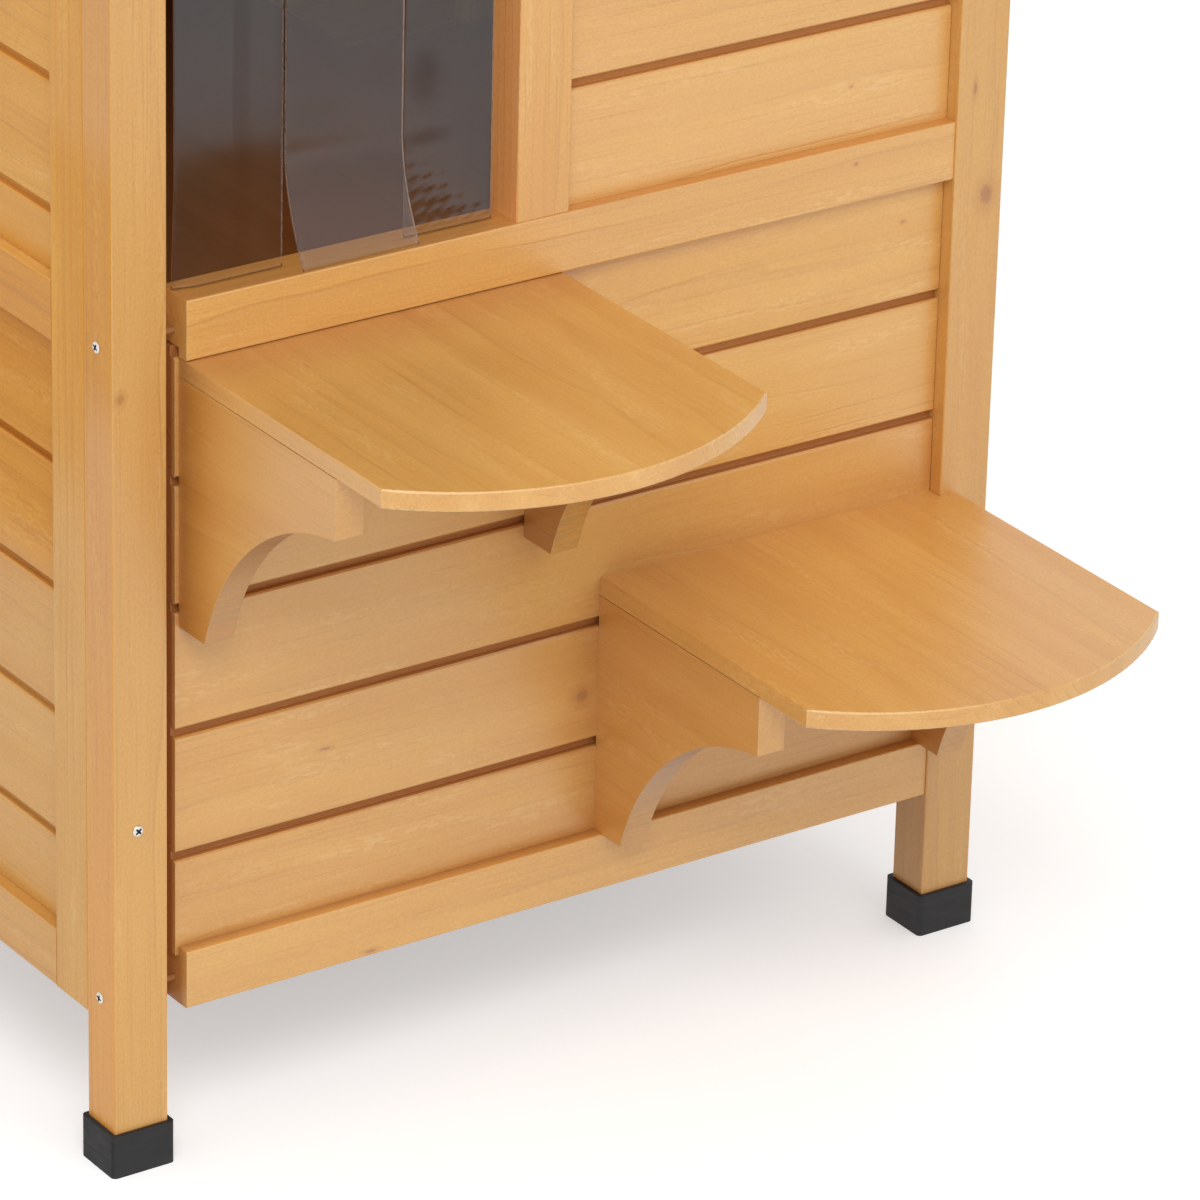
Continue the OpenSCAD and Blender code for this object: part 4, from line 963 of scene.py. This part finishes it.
def zinc_material(name, colour, roughness, shaded=False):
    """Zinc-plated steel with fine mottling.

    shaded is for screws, whose "shade" attribute marks the recess (1) and the shank (0.5), which is dulled by
    the wood's oil.
    """
    material, wires, coords = new_material(name)
    plate = wires.place(mottle_group, {"Vector": coords, "Color": rgba(colour), "Roughness": roughness})
    metal, metallic = plate["Color"], 1.0
    if shaded:
        mark = wires.shader("Attribute", attribute_name="shade")["Fac"]
        recess = wires.ramp(mark, 0.55, 0.95)
        shank = wires.mul(wires.ramp(mark, 0.05, 0.45), wires.sub(1.0, recess))
        metal = wires.mix(recess, wires.mix(shank, metal, SHANK_BROWN), RECESS_SHADE)
        metallic = wires.sub(1.0, shank)
    finish(wires, {"Base Color": metal, "Metallic": metallic, "Roughness": plate["Roughness"]},
           strength=0.12, distance=0.0002, height=plate["Height"])
    return material


class CATHOUSE_OT_feet(bpy.types.Operator):
    """Finish the rubber foot caps"""

    bl_idname = "cathouse.feet"
    bl_label = "Foot caps"

    EDGE_RADIUS = 0.0008

    def rubber_material(self, context, name, shade, left_tone):
        rubber = Vector(context.scene.cat_house_fittings.rubber)
        material, wires, coords = new_material(name)
        fine = wires.noise(coords, 1400.0, 2.0, 0.6)
        scuff = wires.noise(coords, (60.0, 60.0, 260.0), 3.0, 0.6)
        height = wires.split(coords)[2]
        dust = wires.mul(wires.ramp(height, 0.010, 0.0, 0.0, 0.5), wires.ramp(scuff, 0.4, 0.7))
        edges = wires.place(edge_group, {"Radius": self.EDGE_RADIUS})
        # The edges get a painted highlight, and dust near the ground makes the rubber paler.
        lightening = wires.add(dust, wires.mul(edges["Mask"], 0.3), clamp=True)
        # The faces that look left get a tone of their own: painted shade on the black caps, painted light on
        # the paler one.
        colour, _ = lay_tone(wires, wires.mix(lightening, rgba(rubber * shade), rgba(rubber * 2.1)),
                             wires.shader("NewGeometry")["True Normal"], LEFT, *FACING, left_tone)
        finish(wires, {"Base Color": colour, "Roughness": wires.ramp(scuff, 0.3, 0.75, 0.52, 0.68),
                       "Specular IOR Level": 0.28},
               strength=0.25, distance=0.00025, height=fine, normal=edges["Normal"])
        return material

    def execute(self, context):
        material = self.rubber_material(context, "Black rubber", 1.0, (0.54, 0.54, 0.55))
        for name in NODES:
            if name.startswith("foot_cap"):
                dress(name, material)
        # The photo shows the right front cap, in the house's shade, paler than this studio makes black rubber.
        # Its paler rubber and lighter left faces are painted light.
        dress("foot_cap_front_right",
              self.rubber_material(context, "Paler rubber", 1.15, (1.25, 1.27, 1.30)))
        return {"FINISHED"}


# A screw whose direction has a share above this along X, Y or Z counts as straight.
STRAIGHT = 0.9999


def screw_places(node):
    """Top of the head, outward direction and length of every screw in a node."""
    build = bmesh.new()
    build.from_mesh(NODES[node].data)
    bmesh.ops.remove_doubles(build, verts=build.verts, dist=1e-6)
    build.verts.ensure_lookup_table()
    left = set(range(len(build.verts)))
    places = []
    while left:
        start = left.pop()
        island, stack = [start], [start]
        while stack:
            for edge in build.verts[stack.pop()].link_edges:
                for vertex in edge.verts:
                    if vertex.index in left:
                        left.remove(vertex.index)
                        island.append(vertex.index)
                        stack.append(vertex.index)
        points = np.array([build.verts[k].co for k in island])
        axis = principal_axis(points)
        along = points @ axis
        offset = points - points.mean(0)
        reach = np.linalg.norm(offset - np.outer(offset @ axis, axis), axis=1)
        if along[np.argmax(reach)] < (along.min() + along.max()) / 2:
            axis, along = -axis, -along
        centre = (points.min(0) + points.max(0)) / 2
        if np.abs(axis).max() < STRAIGHT:
            centre = axis_point(points, axis)
        head = Vector(centre) + Vector(axis) * float(along.max() - centre @ axis)
        places.append((head, Vector(axis), float(along.max() - along.min())))
    build.free()
    return places


def principal_axis(points):
    """Direction of the longest extent, snapped to the frame's X, Y or Z where it is close to one."""
    spread = points - points.mean(0)
    axis = np.linalg.eigh(spread.T @ spread)[1][:, -1]
    k = int(np.argmax(np.abs(axis)))
    return np.eye(3)[k] * np.sign(axis[k]) if abs(axis[k]) > STRAIGHT else axis


def axis_point(points, axis):
    """Middle of a round, tilted solid: the centre of the box in the two directions across its axis."""
    side = np.cross(axis, (1.0, 0.0, 0.0))
    side /= np.linalg.norm(side)
    ways = (axis, side, np.cross(axis, side))
    return sum(way * ((points @ way).min() + (points @ way).max()) / 2 for way in ways)


def cross_screw(name, head_r, head_h, shank_r, length):
    """A raised countersunk head with a tapered cross recess, on a shank, with its top at the origin."""
    spokes = 48
    build = bmesh.new()
    rings = []

    def ring(height, radius_at):
        turns = [2 * math.pi * k / spokes for k in range(spokes)]
        rings.append([build.verts.new((radius_at(t) * math.cos(t), radius_at(t) * math.sin(t), height))
                      for t in turns])

    def cross(arm, half):
        def radius_at(turn):
            across, along = sorted((abs(math.cos(turn)), abs(math.sin(turn))))
            return min(arm / along, half / max(across, 1e-6)) if across > 1e-6 else arm
        return radius_at

    # Shares of the head's radius and height: the recess, then the head's outline.
    for arm, half, drop in ((0.12, 0.06, 0.85), (0.46, 0.12, 0.62), (0.64, 0.17, 0.04), (0.68, 0.20, 0.0)):
        ring(-head_h * drop, cross(head_r * arm, head_r * half))
    for share, drop in ((0.74, 0.0), (0.84, 0.12), (0.93, 0.30), (1.0, 0.62), (0.985, 1.0)):
        ring(-head_h * drop, lambda turn, share=share: head_r * share)
    for height, share in ((-head_h, 1.0), (-length + 2.5 * shank_r, 1.0), (-length, 0.12)):
        ring(height, lambda turn, share=share: shank_r * share)
    for a, b in zip(rings, rings[1:]):
        for k in range(spokes):
            n = (k + 1) % spokes
            build.faces.new((a[k], a[n], b[n], b[k]))
    build.faces.new(rings[0])
    build.faces.new(list(reversed(rings[-1])))
    bmesh.ops.recalc_face_normals(build, faces=build.faces)
    mesh = bpy.data.meshes.new(name)
    build.to_mesh(mesh)
    build.free()
    # The recess is the first three rings, the shank the last three.
    marks = [1.0 if k // spokes < 3 else 0.5 if k // spokes >= len(rings) - 3 else 0.0
             for k in range(len(mesh.vertices))]
    mesh.attributes.new("shade", "FLOAT", "POINT").data.foreach_set("value", marks)
    return add_object(name, mesh)


def screw_tree():
    """Geometry nodes: a screw on every point, along the point's direction, each turned by a random angle."""
    tree = bpy.data.node_groups.get("Screws on points")
    if tree:
        return tree
    tree = bpy.data.node_groups.new("Screws on points", "GeometryNodeTree")
    for label, kind, default in (("Geometry", "Geometry", None), ("Screw", "Object", None),
                                 ("Material", "Material", None), ("Largest Turn", "Float", math.pi),
                                 ("Seed", "Int", 4)):
        socket = tree.interface.new_socket(label, in_out="INPUT", socket_type=f"NodeSocket{kind}")
        if default:
            socket.default_value = default
    tree.interface.new_socket("Geometry", in_out="OUTPUT", socket_type="NodeSocketGeometry")
    wires = Wiring(tree)
    given = wires.node("NodeGroupInput").outputs
    info = wires.node("GeometryNodeObjectInfo", {"Object": given["Screw"]}).outputs
    direction = wires.node("GeometryNodeInputNamedAttribute", {"Name": "direction"}, data_type="FLOAT_VECTOR")
    turn = wires.node("FunctionNodeAlignRotationToVector", {"Vector": direction.outputs["Attribute"]},
                      axis="Z")
    dice = wires.node("FunctionNodeRandomValue", {3: given["Largest Turn"], "Seed": given["Seed"]},
                      data_type="FLOAT")
    spin = wires.node("FunctionNodeAxisAngleToRotation", {"Axis": UP, "Angle": dice.outputs[1]})
    both = wires.node("FunctionNodeRotateRotation", {
        "Rotation": turn.outputs[0], "Rotate By": spin.outputs[0]}, rotation_space="LOCAL")
    placed = wires.node("GeometryNodeInstanceOnPoints", {
        "Points": given["Geometry"], "Instance": info["Geometry"], "Rotation": both.outputs[0]})
    real = wires.node("GeometryNodeRealizeInstances", {"Geometry": placed.outputs[0]})
    coat = wires.node("GeometryNodeSetMaterial", {"Geometry": real.outputs[0], "Material": given["Material"]})
    wires.node("NodeGroupOutput", {0: coat.outputs[0]})
    return tree


def shade_by_angle(mesh, degrees):
    """Smooth faces, with the edges sharper than the angle kept crisp."""
    build = bmesh.new()
    build.from_mesh(mesh)
    for face in build.faces:
        face.smooth = True
    for edge in build.edges:
        if len(edge.link_faces) == 2 and edge.calc_face_angle(0.0) > math.radians(degrees):
            edge.smooth = False
    build.to_mesh(mesh)
    build.free()


class CATHOUSE_OT_screws(bpy.types.Operator):
    """Place cross-recessed screws in the frame, the brackets and the hinges"""

    bl_idname = "cathouse.screws"
    bl_label = "Screws"

    # Body, radius and height of the head, radius of the shank, and seed of the heads' turns.
    SCREWS = {"rail_screws": ("cabin", 0.0037, 0.0012, 0.0020, 3),
              "stile_screws": ("cabin", 0.0037, 0.0012, 0.0020, 8),
              "bracket_screws": ("cabin", 0.0030, 0.0012, 0.0015, 11),
              "hinge_wall_screws": ("cabin", 0.0030, 0.0010, 0.0015, 14),
              "hinge_roof_screws": ("roof", 0.0030, 0.0010, 0.0015, 17)}
    CRISP_ANGLE = 32

    def plant(self, node, material, body, head_r, head_h, shank_r, seed):
        """Puts a detailed screw where the frame has each plain one."""
        places = screw_places(node)
        longest = max(length for _, _, length in places)
        screw = cross_screw(f"{node}_one", head_r, head_h, shank_r, longest)
        points = bpy.data.meshes.new(f"{node}_points")
        points.from_pydata([tuple(head) for head, _, _ in places], [], [])
        directions = points.attributes.new("direction", "FLOAT_VECTOR", "POINT")
        directions.data.foreach_set("vector", [c for _, axis, _ in places for c in axis])
        holder = add_object(f"{node}_holder", points)
        modifier = holder.modifiers.new("Screws", "NODES")
        modifier.node_group = screw_tree()
        sockets = {item.name: item.identifier for item in modifier.node_group.interface.items_tree
                   if item.in_out == "INPUT"}
        for key, value in (("Screw", screw), ("Material", material), ("Seed", seed)):
            modifier[sockets[key]] = value
        bpy.context.view_layer.update()
        mesh = bpy.data.meshes.new_from_object(holder.evaluated_get(bpy.context.evaluated_depsgraph_get()))
        for helper in (holder, screw):
            bpy.data.objects.remove(helper)
        mesh.materials.clear()
        mesh.materials.append(material)
        shade_by_angle(mesh, self.CRISP_ANGLE)
        stand_in(node, f"{node}_detailed", mesh, body)

    def execute(self, context):
        zinc = Vector(context.scene.cat_house_fittings.zinc)
        material = zinc_material("Zinc screws", zinc * 1.2, 0.34, shaded=True)
        for node, values in self.SCREWS.items():
            self.plant(node, material, *values)
        return {"FINISHED"}


class CATHOUSE_OT_hinges(bpy.types.Operator):
    """Finish the roof hinges"""

    bl_idname = "cathouse.hinges"
    bl_label = "Roof hinges"

    def execute(self, context):
        material = zinc_material("Zinc hinges", Vector(context.scene.cat_house_fittings.zinc) * 0.95, 0.38)
        for name in ("hinge_wall_leaves", "hinge_roof_leaves", "hinge_pins"):
            dress(name, material)
        return {"FINISHED"}


class CATHOUSE_OT_roof(bpy.types.Operator):
    """Finish the roof's felt, deck, fascias and battens"""

    bl_idname = "cathouse.roof"
    bl_label = "Roof"

    # Width of a board of the deck.
    DECK_BOARD = 0.1167

    def felt_material(self, context):
        fittings = context.scene.cat_house_fittings
        felt = Vector(fittings.felt)
        material, wires, coords = new_material("Mineral felt")
        grit = wires.shader("TexVoronoi", {"Vector": coords, "Scale": 1.0 / fittings.granule})
        tone = wires.split(grit["Color"])[0]
        weather = wires.noise(coords, (3.0, 3.0, 3.0), 3.0, 0.55)
        base = wires.mix(wires.ramp(weather, 0.35, 0.7, 0.0, 0.5), rgba(felt), rgba(felt * 1.5))
        grey = rgba([min(1.0, c * 4.5) for c in felt])
        finish(wires, {"Base Color": wires.mix(wires.ramp(tone, 0.62, 0.98, 0.0, 0.8), base, grey),
                       "Roughness": 0.9},
               strength=0.7, distance=0.0006, height=wires.sub(wires.mul(tone, 0.4), grit["Distance"]))
        return material

    def execute(self, context):
        dress("roof_felt", self.felt_material(context))
        pine(context, "roof_deck", "X", 151.0, ("Y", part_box("roof_deck")[0].y, self.DECK_BOARD))
        pine(context, "roof_fascias", "Y", 157.0)
        pine(context, "roof_battens", "X", 163.0)
        return {"FINISHED"}


def seen(wires):
    """1 for rays that the camera sends, also by way of a reflection or a clear sheet."""
    path = wires.shader("LightPath")
    return wires.math("MAXIMUM", path["Is Camera Ray"],
                      wires.math("MAXIMUM", path["Is Glossy Ray"], path["Is Transmission Ray"]))


class CATHOUSE_OT_stage(bpy.types.Operator):
    """Add the pale floor, the soft light and the camera"""

    bl_idname = "cathouse.stage"
    bl_label = "Studio"

    SENSOR = 36.0
    PICTURE_WIDTH = 1200.0
    HALF_FLOOR = 30
    # The lamps' target, their size, and each one's place from the target.
    TARGET = Vector((0.0, 0.0, 0.45))
    LAMP_SIZE = 1.7
    KEY_PLACE = Vector((-1.6, -2.4, 2.6))
    FILL_PLACE = Vector((0.4, -3.0, 2.0))

    def add_camera(self, stage):
        level = Vector((math.cos(stage.turn), -math.sin(stage.turn), 0.0))
        ahead = math.cos(stage.dip)
        forward = Vector((math.sin(stage.turn) * ahead, math.cos(stage.turn) * ahead, -math.sin(stage.dip)))
        up = level.cross(forward)
        right = level * math.cos(stage.roll) + up * math.sin(stage.roll)
        top = up * math.cos(stage.roll) - level * math.sin(stage.roll)
        data = bpy.data.cameras.new("Camera")
        data.sensor_width = self.SENSOR
        data.lens = stage.focal_px * self.SENSOR / self.PICTURE_WIDTH
        data.clip_end = 100.0
        camera = add_object("Camera", data)
        turn = Matrix((right, top, -forward)).transposed().to_4x4()
        camera.matrix_world = Matrix.Translation(at_cabin(*stage.camera_place)) @ turn
        bpy.context.scene.camera = camera

    def add_floor(self, stage):
        far = self.HALF_FLOOR
        mesh = bpy.data.meshes.new("Floor")
        mesh.from_pydata([(-far, -far, 0), (far, -far, 0), (far, far, 0), (-far, far, 0)], [], [(0, 1, 2, 3)])
        material, wires, _ = new_material("Pale floor")
        finish(wires, {"Base Color": rgba(stage.floor), "Roughness": 0.9, "Specular IOR Level": 0.1,
                       "Emission Color": (1.0, 1.0, 1.0, 1.0),
                       "Emission Strength": wires.mul(seen(wires), stage.lift)})
        mesh.materials.append(material)
        add_object("Floor", mesh)

    def add_light(self, stage):
        world = bpy.data.worlds.new("Studio")
        world.use_nodes = True
        world.node_tree.nodes.clear()
        wires = Wiring(world.node_tree)
        strength = wires.mul_add(seen(wires), 1.0 - stage.sky, stage.sky)
        sky = wires.shader("Background", {"Color": (1.0, 1.0, 1.0, 1.0), "Strength": strength})
        wires.shader("OutputWorld", {"Surface": sky[0]})
        bpy.context.scene.world = world
        for name, power, place in (("Key", stage.key_power, self.KEY_PLACE),
                                   ("Fill", stage.fill_power, self.FILL_PLACE)):
            data = bpy.data.lights.new(name, "AREA")
            data.shape = "DISK"
            data.size = self.LAMP_SIZE
            data.energy = power
            lamp = add_object(name, data)
            lamp.location = self.TARGET + place
            lamp.rotation_euler = (-place).to_track_quat("-Z", "Y").to_euler()

    def execute(self, context):
        stage = context.scene.cat_house_stage
        self.add_camera(stage)
        self.add_floor(stage)
        self.add_light(stage)
        context.scene.view_settings.view_transform = "Standard"
        return {"FINISHED"}


class CATHOUSE_PT_panel(bpy.types.Panel):
    """Lists the pieces of the cat house"""

    bl_idname = "CATHOUSE_PT_panel"
    bl_label = "Cat House"
    bl_space_type = "VIEW_3D"
    bl_region_type = "UI"
    bl_category = "Cat House"

    def draw(self, context):
        for operator in OPERATORS:
            self.layout.operator(operator.bl_idname)
        for name in SETTINGS:
            box = self.layout.box()
            settings = getattr(context.scene, name)
            for key in settings.__annotations__:
                box.prop(settings, key)


SETTINGS = {
    "cat_house_wood": CATHOUSE_PG_wood,
    "cat_house_curtain": CATHOUSE_PG_curtain,
    "cat_house_fittings": CATHOUSE_PG_fittings,
    "cat_house_stage": CATHOUSE_PG_stage,
}
OPERATORS = (
    CATHOUSE_OT_timber,
    CATHOUSE_OT_boards,
    CATHOUSE_OT_steps,
    CATHOUSE_OT_floors,
    CATHOUSE_OT_curtain,
    CATHOUSE_OT_feet,
    CATHOUSE_OT_screws,
    CATHOUSE_OT_hinges,
    CATHOUSE_OT_roof,
    CATHOUSE_OT_stage,
)


def register():
    for name, group in SETTINGS.items():
        bpy.utils.register_class(group)
        setattr(bpy.types.Scene, name, bpy.props.PointerProperty(type=group))
    for operator in OPERATORS:
        bpy.utils.register_class(operator)
    bpy.utils.register_class(CATHOUSE_PT_panel)


def unregister():
    bpy.utils.unregister_class(CATHOUSE_PT_panel)
    for operator in reversed(OPERATORS):
        bpy.utils.unregister_class(operator)
    for name, group in SETTINGS.items():
        delattr(bpy.types.Scene, name)
        bpy.utils.unregister_class(group)


def main():
    register()
    for operator in OPERATORS:
        area, name = operator.bl_idname.split(".")
        getattr(getattr(bpy.ops, area), name)()


if __name__ == "__main__":
    main()
